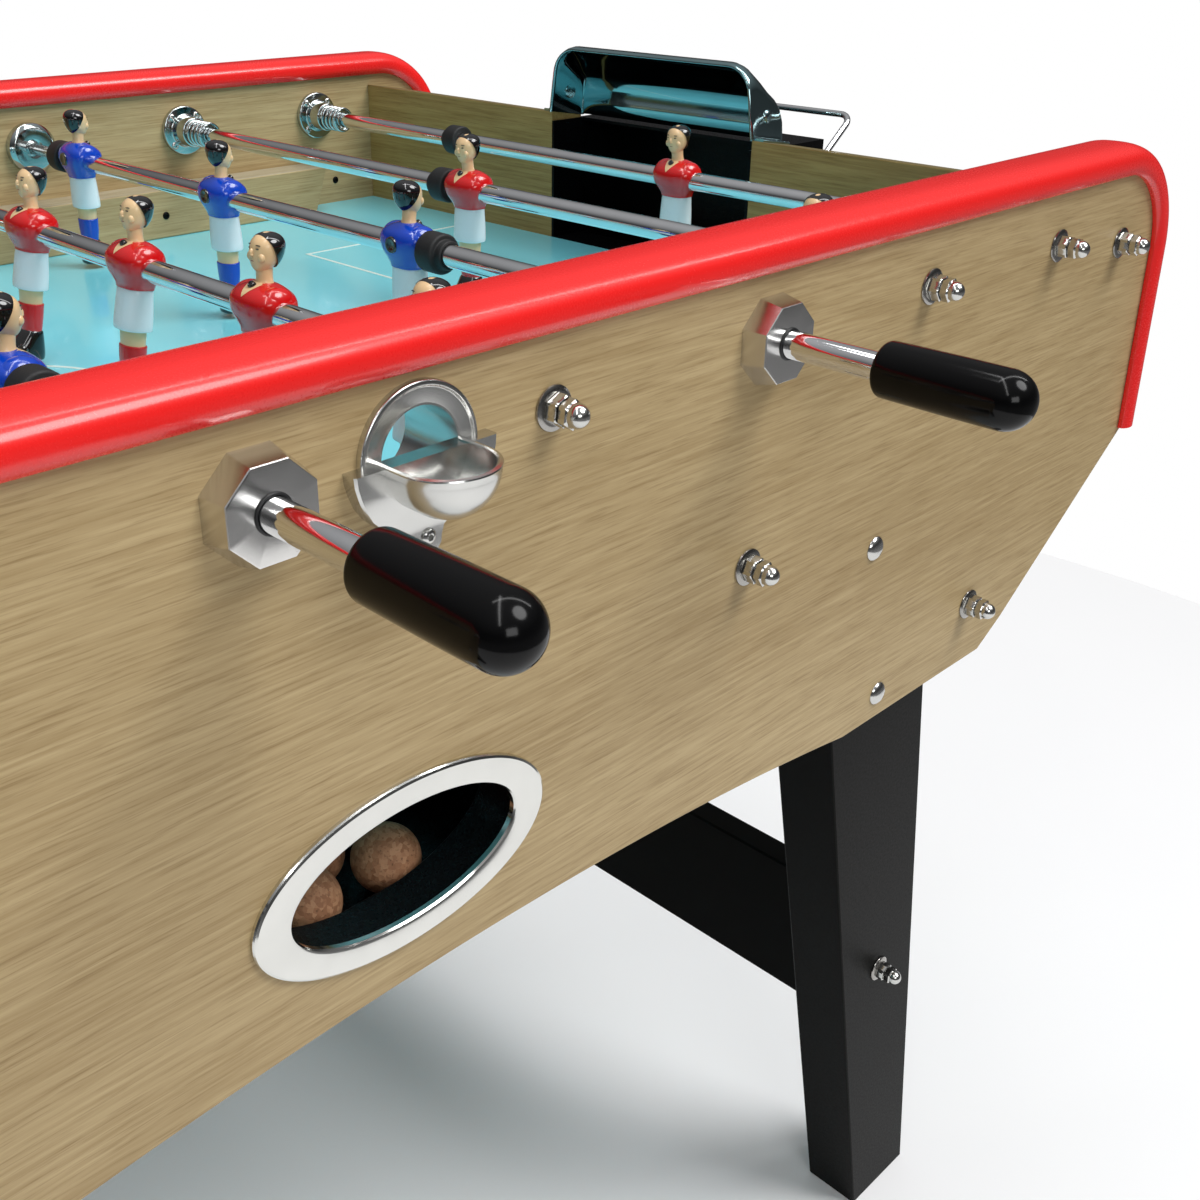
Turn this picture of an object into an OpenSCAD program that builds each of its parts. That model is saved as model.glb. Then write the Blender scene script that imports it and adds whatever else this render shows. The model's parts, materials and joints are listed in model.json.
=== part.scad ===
/* [Cabinet] */
// Length of the playing field between the two end panels
field_length = 1184; // [1160:2:1200]
// Clear width between the two side panels
inner_width = 764; // [740:2:800]
// Thickness of a side panel
side_thick = 30; // [26:1:34]
// Thickness of an end panel
end_thick = 38; // [34:1:42]
// Height of the rod centre lines above the floor
rod_height = 858; // [820:2:880]
// Depth of the playing surface below the rod centre lines
field_drop = 88; // [86:0.5:92]
// Thickness of the playing field board
field_thick = 22; // [18:1:22]
// Top edge of the side panels above the rod centre lines
side_top = 40; // [38:1:44]
// Bottom edge of the side panels below the rod centre lines
side_bottom = 282; // [276:1:290]
// Rise of the arch in the bottom edge of the side panels
arch_rise = 26; // [10:1:30]
// Top edge of the end panels above the rod centre lines
end_top = 24; // [20:1:28]
// Width of the ledge board along each side of the field
ledge_width = 32; // [24:1:34]
// Height of the ledge boards above the playing surface
ledge_height = 43; // [36:1:46]

/* [Edge trim] */
// Overall thickness of the rounded edge trim
trim_width = 44; // [42:0.5:46]
// Rise of the trim above the edge of the panel
trim_rise = 14; // [12:0.5:16]
// Depth of the trim lips down the panel faces
trim_skirt = 6; // [5:0.5:7]
// Radius of the upper panel corners
corner_radius = 66; // [62:1:70]
// Outward lean of the panel ends in degrees
end_lean = 1.5; // [1:0.1:2.5]

/* [Rods] */
// Distance between neighbouring rods
rod_pitch = 150; // [148:0.5:151]
// Outer diameter of the sliding rod tubes
tube_diameter = 14; // [13:0.5:16]
// Diameter of the fixed inner rods
inner_diameter = 9; // [8:0.5:9.5]
// Radial running clearance of the sliding fits
running_gap = 0.05; // [0.03:0.01:0.08]
// Diameter of the hand grips
grip_diameter = 28; // [26:0.5:34]
// Length of the hand grips
grip_length = 76; // [70:1:90]
// Diameter of the rubber bumpers
bumper_diameter = 25; // [22:0.5:28]
// Length of one rubber bumper
bumper_length = 20; // [18:0.5:22]

/* [Goals] */
// Width of a goal mouth
goal_width = 220; // [216:2:230]
// Height of a goal hood above the end panel
hood_height = 56; // [50:1:62]
// Diameter of the score bar wire
score_wire = 5; // [4:0.5:6]

/* [Ball entry and return] */
// Diameter of a ball
ball_diameter = 35; // [33:0.5:36]
// Diameter of the ball entry hole
entry_diameter = 39; // [38:0.5:41]
// Length of the oval window opening
window_length = 126; // [110:2:130]
// Height of the oval window opening
window_height = 60; // [50:1:62]
// Width of the rim round the oval window
window_rim = 19; // [12:1:20]
// Sideways position of the oval window
window_x = -14; // [-20:1:20]

/* [Legs] */
// Width of a leg at the floor
foot_width = 77; // [70:1:90]
// Thickness of a leg across the table
leg_thick = 48; // [40:1:56]
// Height of the cross board between two legs
stretcher_height = 120; // [100:2:130]
// Thickness of the cross board
stretcher_thick = 24; // [20:1:28]

/* [Hidden] */
$fn = 64;

wood = [0.72, 0.62, 0.46];
pale_wood = [0.86, 0.78, 0.64];
red = [0.80, 0.06, 0.05];
blue = [0.05, 0.18, 0.70];
chrome = [0.80, 0.81, 0.83];
black = [0.06, 0.06, 0.07];
rubber = [0.10, 0.10, 0.11];
cork = [0.72, 0.50, 0.34];
teal = [0.42, 0.78, 0.74];

tiny = 0.05;
inner_y = inner_width / 2;
outer_y = inner_y + side_thick;
end_x = field_length / 2;
end_out_x = end_x + end_thick;
field_z = rod_height - field_drop;
field_under_z = field_z - field_thick;
side_top_z = rod_height + side_top;
side_bottom_z = rod_height - side_bottom;
end_top_z = rod_height + end_top;
end_bottom_z = rod_height - 170;

// Side panel outline
corner_x = end_x + 14;
corner_z = side_top_z - corner_radius;
lean_start = [corner_x + corner_radius * cos(end_lean), corner_z + corner_radius * sin(end_lean)];
tip_z = rod_height - 160;
lean_length = (lean_start[1] - tip_z) / cos(end_lean);
tip_x = lean_start[0] + lean_length * sin(end_lean);
foot_corner_x = 500;
cut_corner_x = 527;
cut_corner_z = side_bottom_z + 16;
arch_half = 335;
arch_radius = (arch_half * arch_half + arch_rise * arch_rise) / (2 * arch_rise);

// Rods: x position, side of the grip, figure offsets and shift along the rod
tube_r = tube_diameter / 2;
inner_r = inner_diameter / 2;
bearing_bore_r = tube_r + running_gap;
rod_count = 8;
function rod_x(i) = (i - (rod_count + 1) / 2) * rod_pitch;
rod_side = [-1, -1, 1, -1, 1, -1, 1, 1];
rod_shift = [10, 120, -40, 45, -64, 80, -175.5, -94.5];
rod_turn = [0, 0, 0, 0, 10, 0, 0, 0];
rod_grip_gap = [5, 11, 13.5, 33, 33, 13.5, 11, 5];
five = [-264, -132, 0, 132, 264];
three = [-212, 0, 212];
two = [-156, 156];
one = [0];
rod_figures = [one, two, three, five, five, three, two, one];
figure_half = 19;
keeper_bumper_y = 263;
function bumper_y(i) = len(rod_figures[i - 1]) == 1
    ? keeper_bumper_y - bumper_length / 2
    : max(rod_figures[i - 1]) + figure_half + 0.5;
function group_end(i) = bumper_y(i) + bumper_length;
disc_thick = 10;
flange_reach = 22;
stop_gap = 0.5;
function push_travel(i) = inner_y - disc_thick - stop_gap - group_end(i);
block_depth = 13;
function grip_start(i) = -(outer_y + block_depth + rod_grip_gap[i - 1] + push_travel(i));
tube_in_grip = 60;
fixed_rod_reach = 330;

// Fasteners: outer washer, nut and cap
washer_r = 10.5;
washer_thick = 2;
nut_r = 7.5;
nut_thick = 6;
cap_start = washer_thick + nut_thick + 0.5;
cap_r = 7;
cap_thick = 5;
cap_dome_r = 5.6;
cap_dome_start = cap_thick + 1.2;
bolt_reach = cap_start + cap_thick;
bolt_r = 4;
low_bolt = [221, -124];
end_bolt = [616, -12];
leg_bolt = [475, -237];
stretcher_bolt = [477, -578];
carriage_points = [[347, -154], [370, -264]];
alcove_screw = [545, -66];
end_screw = [318, -68];

// Legs
leg_head_z = field_under_z;
leg_left_x = 372;
leg_right_x = 486;
leg_left_slope = 0.2214;
leg_knee_z = side_bottom_z - 32;
leg_foot_x = leg_left_x + (leg_knee_z - 9) * leg_left_slope;
stretcher_x = 478;
stretcher_z = rod_height - 580;

// Ball return
window_z = rod_height - 190.5;
collar_gap = 7;
collar_wall = 2.5;
trough_floor_z = rod_height - 248;
trough_wall = 3;
trough_lip = 17;
trough_length = 190;
trough_width = 84;
ramp_width = 60;
ramp_wall = 6;

module mirror_x() {
    children();
    mirror([1, 0, 0]) children();
}

module mirror_y() {
    children();
    mirror([0, 1, 0]) children();
}

module four_corners() {
    mirror_x() mirror_y() children();
}

// Outline drawn in X and Z, given a thickness along Y between two positions
module across(y_low, y_high) {
    translate([0, y_high, 0]) rotate([90, 0, 0]) linear_extrude(y_high - y_low) children();
}

// Cylinder along Y from one position to another
module bar_y(x, z, y_low, y_high, r) {
    translate([x, y_high, z]) rotate([90, 0, 0]) cylinder(r = r, h = y_high - y_low);
}

module each_rod() {
    for (i = [1 : rod_count]) {
        translate([rod_x(i), 0, rod_height]) mirror([0, rod_side[i - 1] > 0 ? 1 : 0, 0]) children();
    }
}

// A half outline joined to its mirror image
function both_halves(half) = concat(half, [for (k = [len(half) - 1 : -1 : 0]) [-half[k][0], half[k][1]]]);

// Outline of the window opening, grown by a margin in X and in Z
module window_oval(grow_x, grow_z) {
    half_x = window_length / 2 + grow_x;
    half_z = window_height / 2 + grow_z;
    polygon([for (a = [0 : 3 : 357]) [half_x * cos(a), half_z * sin(a)]]);
}

// ---- Cabinet ----

module side_board(y_low, y_high) {
    difference() {
        union() {
            mirror_x() bar_y(corner_x, corner_z, y_low, y_high, corner_radius);
            across(y_low, y_high) polygon([
                [corner_x, side_top_z],
                [corner_x, corner_z],
                lean_start,
                [tip_x, tip_z],
                [cut_corner_x, cut_corner_z],
                [foot_corner_x, side_bottom_z],
                [-foot_corner_x, side_bottom_z],
                [-cut_corner_x, cut_corner_z],
                [-tip_x, tip_z],
                [-lean_start[0], lean_start[1]],
                [-corner_x, corner_z],
                [-corner_x, side_top_z]
            ]);
        }
        bar_y(0, side_bottom_z + arch_rise - arch_radius, y_low - 1, y_high + 1, arch_radius, $fn = 720);
    }
}

// Side panel on the -Y side; the far one is the same panel turned round
module side_panel(far) {
    y_low = far ? inner_y : -outer_y;
    y_high = far ? outer_y : -inner_y;
    grip_side = far ? 1 : -1;
    color(wood) difference() {
        side_board(y_low, y_high);
        for (i = [1 : rod_count]) {
            hole_r = rod_side[i - 1] == grip_side ? bush_r + tiny : inner_r + tiny;
            bar_y(rod_x(i), rod_height, y_low - 1, y_high + 1, hole_r);
        }
        bar_y(0, rod_height, y_low - 1, y_high + 1, entry_diameter / 2 + 1);
        translate([window_x, 0, window_z]) across(y_low - 1, y_high + 1)
            window_oval(collar_gap + collar_wall + tiny, collar_gap + collar_wall + tiny);
        for (s = [-1, 1]) {
            for (p = [low_bolt, end_bolt, leg_bolt]) {
                bar_y(s * p[0], rod_height + p[1], y_low - 1, y_high + 1, bolt_r + tiny);
            }
            for (p = carriage_points) {
                bar_y(s * p[0], rod_height + p[1], y_low - 1, y_high + 1, bolt_r + tiny);
            }
            bar_y(s * alcove_screw[0], rod_height + alcove_screw[1], far ? inner_y - 1 : -inner_y - 12,
                far ? inner_y + 12 : -inner_y + 1, screw_r);
        }
    }
}

module side_panel_near() {
    side_panel(false);
}

module side_panel_far() {
    side_panel(true);
}

// Makes the round of the trim fuller at its shoulders than an ellipse
trim_power = 0.7;
function fuller(value) = value < 0 ? value : pow(value, trim_power);
function shoulder(a) = abs(a) > 90 ? sin(a) : sign(a) * pow(abs(sin(a)), trim_power);

// Trim section: X points away from the panel edge, Y is the panel thickness from its middle
module trim_section() {
    bulge = trim_rise - 1;
    end_angle = acos(-(trim_skirt + 1) / bulge);
    polygon(concat(
        [
            for (k = [-24 : 24])
                let (a = k * end_angle / 24)
                [1 + bulge * fuller(cos(a)), trim_width / 2 * shoulder(a)]
        ],
        [
            [-trim_skirt, side_thick / 2],
            [0, side_thick / 2],
            [0, -side_thick / 2],
            [-trim_skirt, -side_thick / 2]
        ]
    ));
}

module trim_end() {
    translate([corner_x, 0, corner_z]) rotate([90, 0, 0]) rotate([0, 0, end_lean])
        rotate_extrude(angle = 90 - end_lean, $fn = 128) translate([corner_radius, 0]) trim_section();
    translate([lean_start[0], 0, lean_start[1]]) rotate([0, -end_lean, 0]) mirror([0, 0, 1])
        linear_extrude(lean_length - 2) trim_section();
}

module side_trims() {
    color(red) for (y = [-1, 1]) {
        translate([0, y * (inner_y + side_thick / 2), 0]) {
            mirror_x() trim_end();
            translate([-corner_x, 0, side_top_z]) rotate([0, 90, 0]) linear_extrude(2 * corner_x)
                rotate([0, 0, 180]) trim_section();
        }
    }
}

goal_half = goal_width / 2;
return_slot_half = 32;
return_slot_top = field_under_z - 2;
return_slot_bottom = rod_height - 160;
end_fall = 6;
mouth_half = goal_half + 3;

// End board, whose top edge falls a little outwards, with the goal mouth and the return slot
module end_panels() {
    color(wood) mirror_x() difference() {
        across(-inner_y, inner_y) polygon([
            [end_x, end_bottom_z],
            [end_out_x, end_bottom_z],
            [end_out_x, end_top_z - end_fall],
            [end_x, end_top_z]
        ]);
        translate([end_x - 1, -mouth_half, field_z]) cube([end_thick + 2, 2 * mouth_half, end_top_z]);
        translate([end_x - 1, -return_slot_half, return_slot_bottom])
            cube([end_thick + 2, 2 * return_slot_half, return_slot_top - return_slot_bottom]);
        mirror_y() bar_y(end_bolt[0], rod_height + end_bolt[1], inner_y - 60, inner_y + 1, bolt_r + tiny);
        mirror_y() translate([end_x - 1, end_screw[0], rod_height + end_screw[1]]) rotate([0, 90, 0])
            cylinder(r = screw_r, h = 15);
    }
}

module playfield() {
    color(teal) translate([-end_x, -inner_y, field_under_z]) cube([field_length, inner_width, field_thick]);
}

ledge_top_x = 512;
ledge_foot_x = 497;

module side_ledges() {
    color(pale_wood) mirror_y() difference() {
        across(inner_y - ledge_width, inner_y) polygon([
            [-ledge_foot_x, field_z],
            [ledge_foot_x, field_z],
            [ledge_top_x, field_z + ledge_height],
            [-ledge_top_x, field_z + ledge_height]
        ]);
        for (x = ledge_screw_x) {
            bar_y(x, field_z + 20, inner_y - ledge_width - 1, inner_y - ledge_width + 12, screw_r);
        }
    }
}

// ---- Goals ----

box_depth = 56;
box_sheet = 2.5;
box_bottom_z = return_slot_bottom - box_sheet;
box_height = end_top_z - end_fall - 2 - box_bottom_z;
box_half = goal_half + box_sheet + 4;

// Black catch box on the outside of each end panel, with cheeks that line the goal mouth
module goal_boxes() {
    color(black) mirror_x() {
        difference() {
            translate([end_out_x, -box_half, box_bottom_z]) cube([box_depth, 2 * box_half, box_height]);
            translate([end_out_x - 1, box_sheet - box_half, box_bottom_z + box_sheet])
                cube([box_depth - box_sheet + 1, 2 * (box_half - box_sheet), box_height - 2 * box_sheet]);
        }
        mirror_y() translate([end_x + 0.2, goal_half + 0.4, field_z])
            cube([end_thick + 1, box_sheet, end_top_z - end_fall - 2 - field_z]);
    }
}

hood_sheet = 2;
hood_back_z = end_top_z + 26;
hood_top_z = end_top_z + hood_height;

// Side profile of the hood in X and Z
module hood_profile(inset) {
    polygon([
        [end_x - 2, end_top_z],
        [end_x - 2, hood_top_z - 8 - inset],
        [end_x + 1, hood_top_z - 2 - inset],
        [end_x + 6, hood_top_z - inset],
        [end_x + 12, hood_top_z - 3 - inset],
        [end_x + 22, hood_top_z - 15 - inset],
        [end_out_x - 4 - inset, hood_back_z + 6 - inset],
        [end_out_x - inset, hood_back_z - 4 - inset],
        [end_out_x + 1 - inset, end_top_z - end_fall],
        [end_out_x - end_thick, end_top_z]
    ]);
}

// Half of the hood seen from the front, in Y and Z
function hood_half_front(inset) = [
    [goal_half + 4.5 - inset, end_top_z - end_fall - 1],
    [goal_half + 1.5 - inset, hood_top_z - 26],
    [goal_half - 5 - inset, hood_top_z - 9],
    [goal_half - 12 - inset, hood_top_z - 2 - inset],
    [goal_half - 22 - inset, hood_top_z + 1 - inset]
];

// Front outline of the hood, used to round and lean its cheeks
module hood_front(inset) {
    polygon(both_halves(hood_half_front(inset)));
}

module hood_solid(inset) {
    intersection() {
        across(-goal_half - 10, goal_half + 10) hood_profile(inset);
        translate([end_x - 10, 0, 0]) rotate([90, 0, 90]) linear_extrude(end_thick + 20) hood_front(inset);
    }
}

module goal_hoods() {
    color(chrome) mirror_x() {
        difference() {
            hood_solid(0);
            translate([-hood_sheet - 0.5, 0, -0.001]) hood_solid(hood_sheet);
        }
    }
}

score_half = 157;
score_x = end_out_x + 34;
score_z = rod_height + 41;
score_foot_z = rod_height + 14;
score_bend = 11;
score_tilt = atan2(score_z - score_foot_z, score_x - end_out_x);
score_leg = norm([score_z - score_foot_z, score_x - end_out_x]);

// Bent wire bar behind each goal hood, standing on the outer face of the end panel
module score_bars() {
    color(chrome) mirror_x() difference() {
        translate([score_x, 0, score_z]) rotate([0, -score_tilt, 0]) {
            bar_y(0, 0, -score_half + score_bend, score_half - score_bend, score_wire / 2);
            mirror_y() {
                translate([-score_bend, score_half - score_bend, 0])
                    rotate_extrude(angle = 90) translate([score_bend, 0]) circle(d = score_wire, $fn = 24);
                translate([-score_bend, score_half, 0]) rotate([0, -90, 0])
                    cylinder(d = score_wire, h = score_leg);
            }
        }
        translate([end_out_x - 60, -score_half - 10, score_foot_z - 60])
            cube([60, 2 * score_half + 20, 120]);
    }
}

// ---- Ball entry, windows and return ----

cup_flange_r = 29.5;
cup_plate = 3;
cup_inner_r = 19.5;
cup_wall = 2;
cup_centre = 18;
cup_tab_z = -37;
cup_skirt_depth = 8;
cup_skirt = [
    [-9, -32], [-18, -28], [-27, -21], [-33, -13], [-35.5, -5], [-36, 0.5],
    [36, 0.5], [35.5, -5], [33, -13], [27, -21], [18, -28], [9, -32]
];

// Cast entry cup on the near panel, drawn with its flange back at the origin plane
module entry_cup() {
    cup_r = cup_inner_r + cup_wall;
    difference() {
        union() {
            bar_y(0, 0, -cup_plate, 0, cup_flange_r);
            across(-cup_plate, 0) polygon(concat(cup_skirt, [[9, cup_tab_z - 6], [-9, cup_tab_z - 6]]));
            across(-cup_skirt_depth, 0) polygon(cup_skirt);
            bar_y(0, 0, -cup_centre, 0, cup_r);
            translate([0, -cup_centre, 0]) sphere(r = cup_r);
        }
        bar_y(0, 0, -cup_centre, 5, cup_inner_r);
        translate([0, -cup_centre, 0]) sphere(r = cup_inner_r);
        difference() {
            translate([-40, -60, 0.5]) cube([80, 60 - cup_plate, 60]);
            bar_y(0, 0, -cup_plate, 0, cup_flange_r);
        }
        bar_y(2, cup_tab_z + 2, -cup_plate - 1, 1, screw_r);
    }
}

module entry_cups() {
    color(chrome) mirror_y() translate([0, -outer_y, rod_height]) entry_cup();
}

module window_rings() {
    rim_proud = 3;
    sleeve = 6;
    color(chrome) mirror_y() translate([window_x, 0, window_z]) difference() {
        union() {
            across(-outer_y - rim_proud, -outer_y) window_oval(window_rim, window_rim * 0.72);
            across(-outer_y - 1, -outer_y + sleeve) window_oval(2.5, 2.5);
        }
        across(-outer_y - rim_proud - 1, -outer_y + sleeve + 1) window_oval(0, 0);
    }
}

// Trough behind each window with a low front lip, and the collar that lines the hole in the panel
module ball_troughs() {
    color(black) mirror_y() {
        difference() {
            translate([window_x - trough_length / 2, -inner_y, trough_floor_z - trough_wall])
                cube([trough_length, trough_width, 40]);
            translate([window_x - trough_length / 2 + trough_wall, trough_wall - inner_y, trough_floor_z])
                cube([trough_length - 2 * trough_wall, trough_width - 2 * trough_wall, 60]);
            translate([window_x - trough_length / 2 - 1, -inner_y - 1, trough_floor_z + trough_lip])
                cube([trough_length + 2, trough_wall + 1.5, 40]);
            translate([window_x - 40, -inner_y + trough_width - 5, trough_floor_z + 22]) cube([80, 10, 30]);
        }
        translate([window_x, 0, window_z]) difference() {
            across(-outer_y + tiny, -inner_y - tiny)
                window_oval(collar_gap + collar_wall, collar_gap + collar_wall);
            across(-outer_y - 1, -inner_y + 1) window_oval(collar_gap, collar_gap);
        }
    }
}

ball_spots = [[12, -361], [-36, -361], [-13, -332]];

module balls() {
    color(cork) for (p = ball_spots) {
        translate([p[0], p[1], trough_floor_z + ball_diameter / 2]) sphere(d = ball_diameter);
    }
}

ramp_start_x = end_x - 2;
ramp_end_x = 62;
ramp_start_z = return_slot_bottom;
ramp_end_z = rod_height - 206;
chute_half = 52;
chute_centre_z = rod_height - 212;
chute_edge_z = trough_floor_z + 24;
chute_reach = inner_y - trough_width - 1;

// Sloping channels below the field that bring the balls to the windows
module return_ramps() {
    color(wood) {
        mirror_x() difference() {
            across(-ramp_width / 2 - ramp_wall, ramp_width / 2 + ramp_wall) polygon([
                [ramp_end_x, ramp_end_z - 8],
                [ramp_start_x, ramp_start_z - 8],
                [ramp_start_x, ramp_start_z + 12],
                [ramp_end_x, ramp_end_z + 12]
            ]);
            across(-ramp_width / 2, ramp_width / 2) polygon([
                [ramp_end_x - 1, ramp_end_z],
                [ramp_start_x + 1, ramp_start_z],
                [ramp_start_x + 1, ramp_start_z + 40],
                [ramp_end_x - 1, ramp_end_z + 40]
            ]);
        }
        translate([-chute_half, 0, 0]) rotate([90, 0, 90]) linear_extrude(2 * chute_half) polygon([
            [-chute_reach, chute_edge_z - 8],
            [0, chute_centre_z - 8],
            [chute_reach, chute_edge_z - 8],
            [chute_reach, chute_edge_z],
            [0, chute_centre_z],
            [-chute_reach, chute_edge_z]
        ]);
    }
}

// ---- Rod mountings ----

bush_r = 10;
bush_nose_r = 8.2;
block_base_r = 23.5;
block_front_r = 20.5;

// Fixed rods reach from a nut on the outside of the far panel to near the gripped panel
module fixed_rods() {
    color(chrome) each_rod() {
        bar_y(0, 0, -fixed_rod_reach, outer_y + bolt_reach, inner_r);
    }
}

module end_discs() {
    color(chrome) each_rod() difference() {
        union() {
            bar_y(0, 0, inner_y - disc_thick + 3, inner_y, 21);
            translate([0, inner_y - disc_thick + 3, 0]) rotate([90, 0, 0]) cylinder(r1 = 21, r2 = 18, h = 3);
        }
        bar_y(0, 0, inner_y - disc_thick - 1, inner_y + 1, inner_r + tiny);
    }
}

// Eight-sided block outside the gripped panel
module bearing_blocks() {
    color(chrome) each_rod() difference() {
        translate([0, -outer_y, 0]) rotate([90, 22.5, 0])
            cylinder(r1 = block_base_r, r2 = block_front_r, h = block_depth, $fn = 8);
        bar_y(0, 0, -outer_y - block_depth - 1, -outer_y + 1, bush_nose_r + tiny);
    }
}

flange_plate = 5;
flange_r = 22;
boss_r = 13;

module bearing_flanges() {
    color(chrome) each_rod() difference() {
        union() {
            bar_y(0, 0, -inner_y, -inner_y + flange_plate, flange_r);
            bar_y(0, 0, -inner_y, -inner_y + flange_reach, boss_r);
        }
        bar_y(0, 0, -inner_y - 1, -inner_y + flange_reach + 1, bush_r + tiny);
        for (a = [45 : 90 : 315]) {
            bar_y(17.5 * cos(a), 17.5 * sin(a), -inner_y - 1, -inner_y + flange_plate + 1,
                screw_shank_r + tiny);
        }
    }
}

// Plastic bushes that guide the tubes through the panel
module bearing_bushes() {
    color(black) each_rod() difference() {
        union() {
            bar_y(0, 0, -outer_y - block_depth - 0.8, -outer_y, bush_nose_r);
            bar_y(0, 0, -outer_y, -inner_y + flange_reach, bush_r);
        }
        bar_y(0, 0, -outer_y - block_depth - 2, -inner_y + flange_reach + 1, bearing_bore_r);
    }
}

spring_length = 26;
spring_turns = 5;
spring_mid_r = 10.4;
spring_wire_r = 1.3;
spring_steps = 14;
spring_sides = 8;

function spring_point(t) = [
    spring_mid_r * cos(360 * t),
    spring_wire_r + t * (spring_length - 2 * spring_wire_r) / spring_turns,
    spring_mid_r * sin(360 * t)
];

function spring_ring(t) = [
    for (s = [0 : spring_sides - 1])
        let (a = 360 * s / spring_sides, r = spring_mid_r + spring_wire_r * cos(a))
        [r * cos(360 * t), spring_point(t)[1] + spring_wire_r * sin(a), r * sin(360 * t)]
];

module coil_spring() {
    rings = spring_turns * spring_steps;
    points = [for (k = [0 : rings]) each spring_ring(k / spring_steps)];
    sides = [
        for (k = [0 : rings - 1], s = [0 : spring_sides - 1])
            let (n = (s + 1) % spring_sides, a = k * spring_sides, b = a + spring_sides)
            [a + s, a + n, b + n, b + s]
    ];
    first = [for (s = [spring_sides - 1 : -1 : 0]) s];
    last = [for (s = [0 : spring_sides - 1]) rings * spring_sides + s];
    polyhedron(points, concat(sides, [first, last]));
}

// Coil springs round the goalkeeper and defence rods, against the bearing flanges
module rod_springs() {
    color(chrome) for (i = [1, 2, 7, 8]) {
        translate([rod_x(i), 0, rod_height]) mirror([0, rod_side[i - 1] > 0 ? 1 : 0, 0])
            translate([0, -inner_y + flange_reach, 0]) coil_spring();
    }
}

// ---- Fasteners ----

screw_r = 3;
screw_shank_r = 1.6;
screw_head_r = 3.2;
ledge_screw_x = [-330, 0, 330];

module fixing_screws() {
    color(chrome) {
        each_rod() for (a = [45 : 90 : 315]) {
            bar_y(17.5 * cos(a), 17.5 * sin(a), -inner_y + flange_plate, -inner_y + flange_plate + 2,
                screw_head_r);
            bar_y(17.5 * cos(a), 17.5 * sin(a), -inner_y + tiny, -inner_y + flange_plate, screw_shank_r);
        }
        mirror_y() bar_y(2, rod_height + cup_tab_z + 2, -outer_y - cup_plate, -outer_y - tiny, screw_r - 0.1);
        mirror_y() for (x = ledge_screw_x) {
            bar_y(x, field_z + 20, inner_y - ledge_width + 0.5, inner_y - ledge_width + 11, screw_r - 0.1);
        }
        four_corners() bar_y(alcove_screw[0], rod_height + alcove_screw[1], inner_y + 0.5, inner_y + 11,
            screw_r - 0.1);
        four_corners() translate([end_x + 0.5, end_screw[0], rod_height + end_screw[1]]) rotate([0, 90, 0])
            cylinder(r = screw_r - 0.1, h = 13);
    }
}

// Every nut position on the outside of a side panel, in X and Z, for the panel facing `side`
function panel_fixings(side) = concat(
    [for (i = [1 : rod_count]) if (rod_side[i - 1] != side) [rod_x(i), rod_height]],
    [for (s = [-1, 1], p = [low_bolt, end_bolt, leg_bolt]) [s * p[0], rod_height + p[1]]]
);

module at_fixings() {
    for (side = [-1, 1], p = panel_fixings(side)) {
        translate([p[0], side * outer_y, p[1]]) mirror([0, side > 0 ? 1 : 0, 0]) children();
    }
    four_corners() translate([stretcher_bolt[0], -inner_y, rod_height + stretcher_bolt[1]]) children();
}

fixing_bore_r = inner_r + tiny;

// Domed washers
module panel_washers() {
    color(chrome) at_fixings() rotate([90, 0, 0]) difference() {
        union() {
            cylinder(r = washer_r, h = 1);
            translate([0, 0, 1]) cylinder(r1 = washer_r, r2 = washer_r - 2, h = washer_thick - 1);
        }
        translate([0, 0, -1]) cylinder(r = fixing_bore_r, h = washer_thick + 2);
    }
}

module hex_nuts() {
    color(chrome) at_fixings() translate([0, -washer_thick, 0]) rotate([90, 0, 0]) difference() {
        cylinder(r = nut_r, h = nut_thick, $fn = 6);
        translate([0, 0, -1]) cylinder(r = fixing_bore_r, h = nut_thick + 2);
    }
}

module acorn_nuts() {
    color(chrome) at_fixings() translate([0, -cap_start, 0]) rotate([90, 0, 0]) difference() {
        union() {
            cylinder(r = cap_r, h = cap_thick, $fn = 6);
            cylinder(r = cap_dome_r, h = cap_dome_start);
            translate([0, 0, cap_dome_start]) sphere(r = cap_dome_r);
        }
        translate([0, 0, -1]) cylinder(r = fixing_bore_r, h = cap_dome_start);
    }
}

// Round-headed bolts that hold the legs, with their nuts on the inside
module carriage_bolts() {
    head_r = 8;
    head_h = 3.5;
    ball_r = (head_r * head_r + head_h * head_h) / (2 * head_h);
    color(chrome) four_corners() for (p = carriage_points) {
        translate([p[0], -outer_y, rod_height + p[1]]) {
            intersection() {
                translate([0, ball_r - head_h, 0]) sphere(r = ball_r);
                bar_y(0, 0, -head_h, 0, head_r);
            }
            bar_y(0, 0, -1, side_thick + leg_thick + 9, bolt_r);
            translate([0, side_thick + leg_thick + nut_thick, 0]) rotate([90, 0, 0])
                cylinder(r = nut_r, h = nut_thick, $fn = 6);
        }
    }
}

// Long tie rods under the field, and the bolts of the end panels, legs and cross boards
module tie_bolts() {
    reach = bolt_reach;
    color(chrome) {
        mirror_x() bar_y(low_bolt[0], rod_height + low_bolt[1], -outer_y - reach, outer_y + reach, bolt_r);
        four_corners() {
            bar_y(end_bolt[0], rod_height + end_bolt[1], -outer_y - reach, -inner_y + 55, bolt_r);
            bar_y(leg_bolt[0], rod_height + leg_bolt[1], -outer_y - reach, -inner_y + leg_thick + 6, bolt_r);
            bar_y(stretcher_bolt[0], rod_height + stretcher_bolt[1], -inner_y - reach,
                -inner_y + leg_thick + 60, bolt_r);
        }
    }
}

// ---- Legs ----

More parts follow.
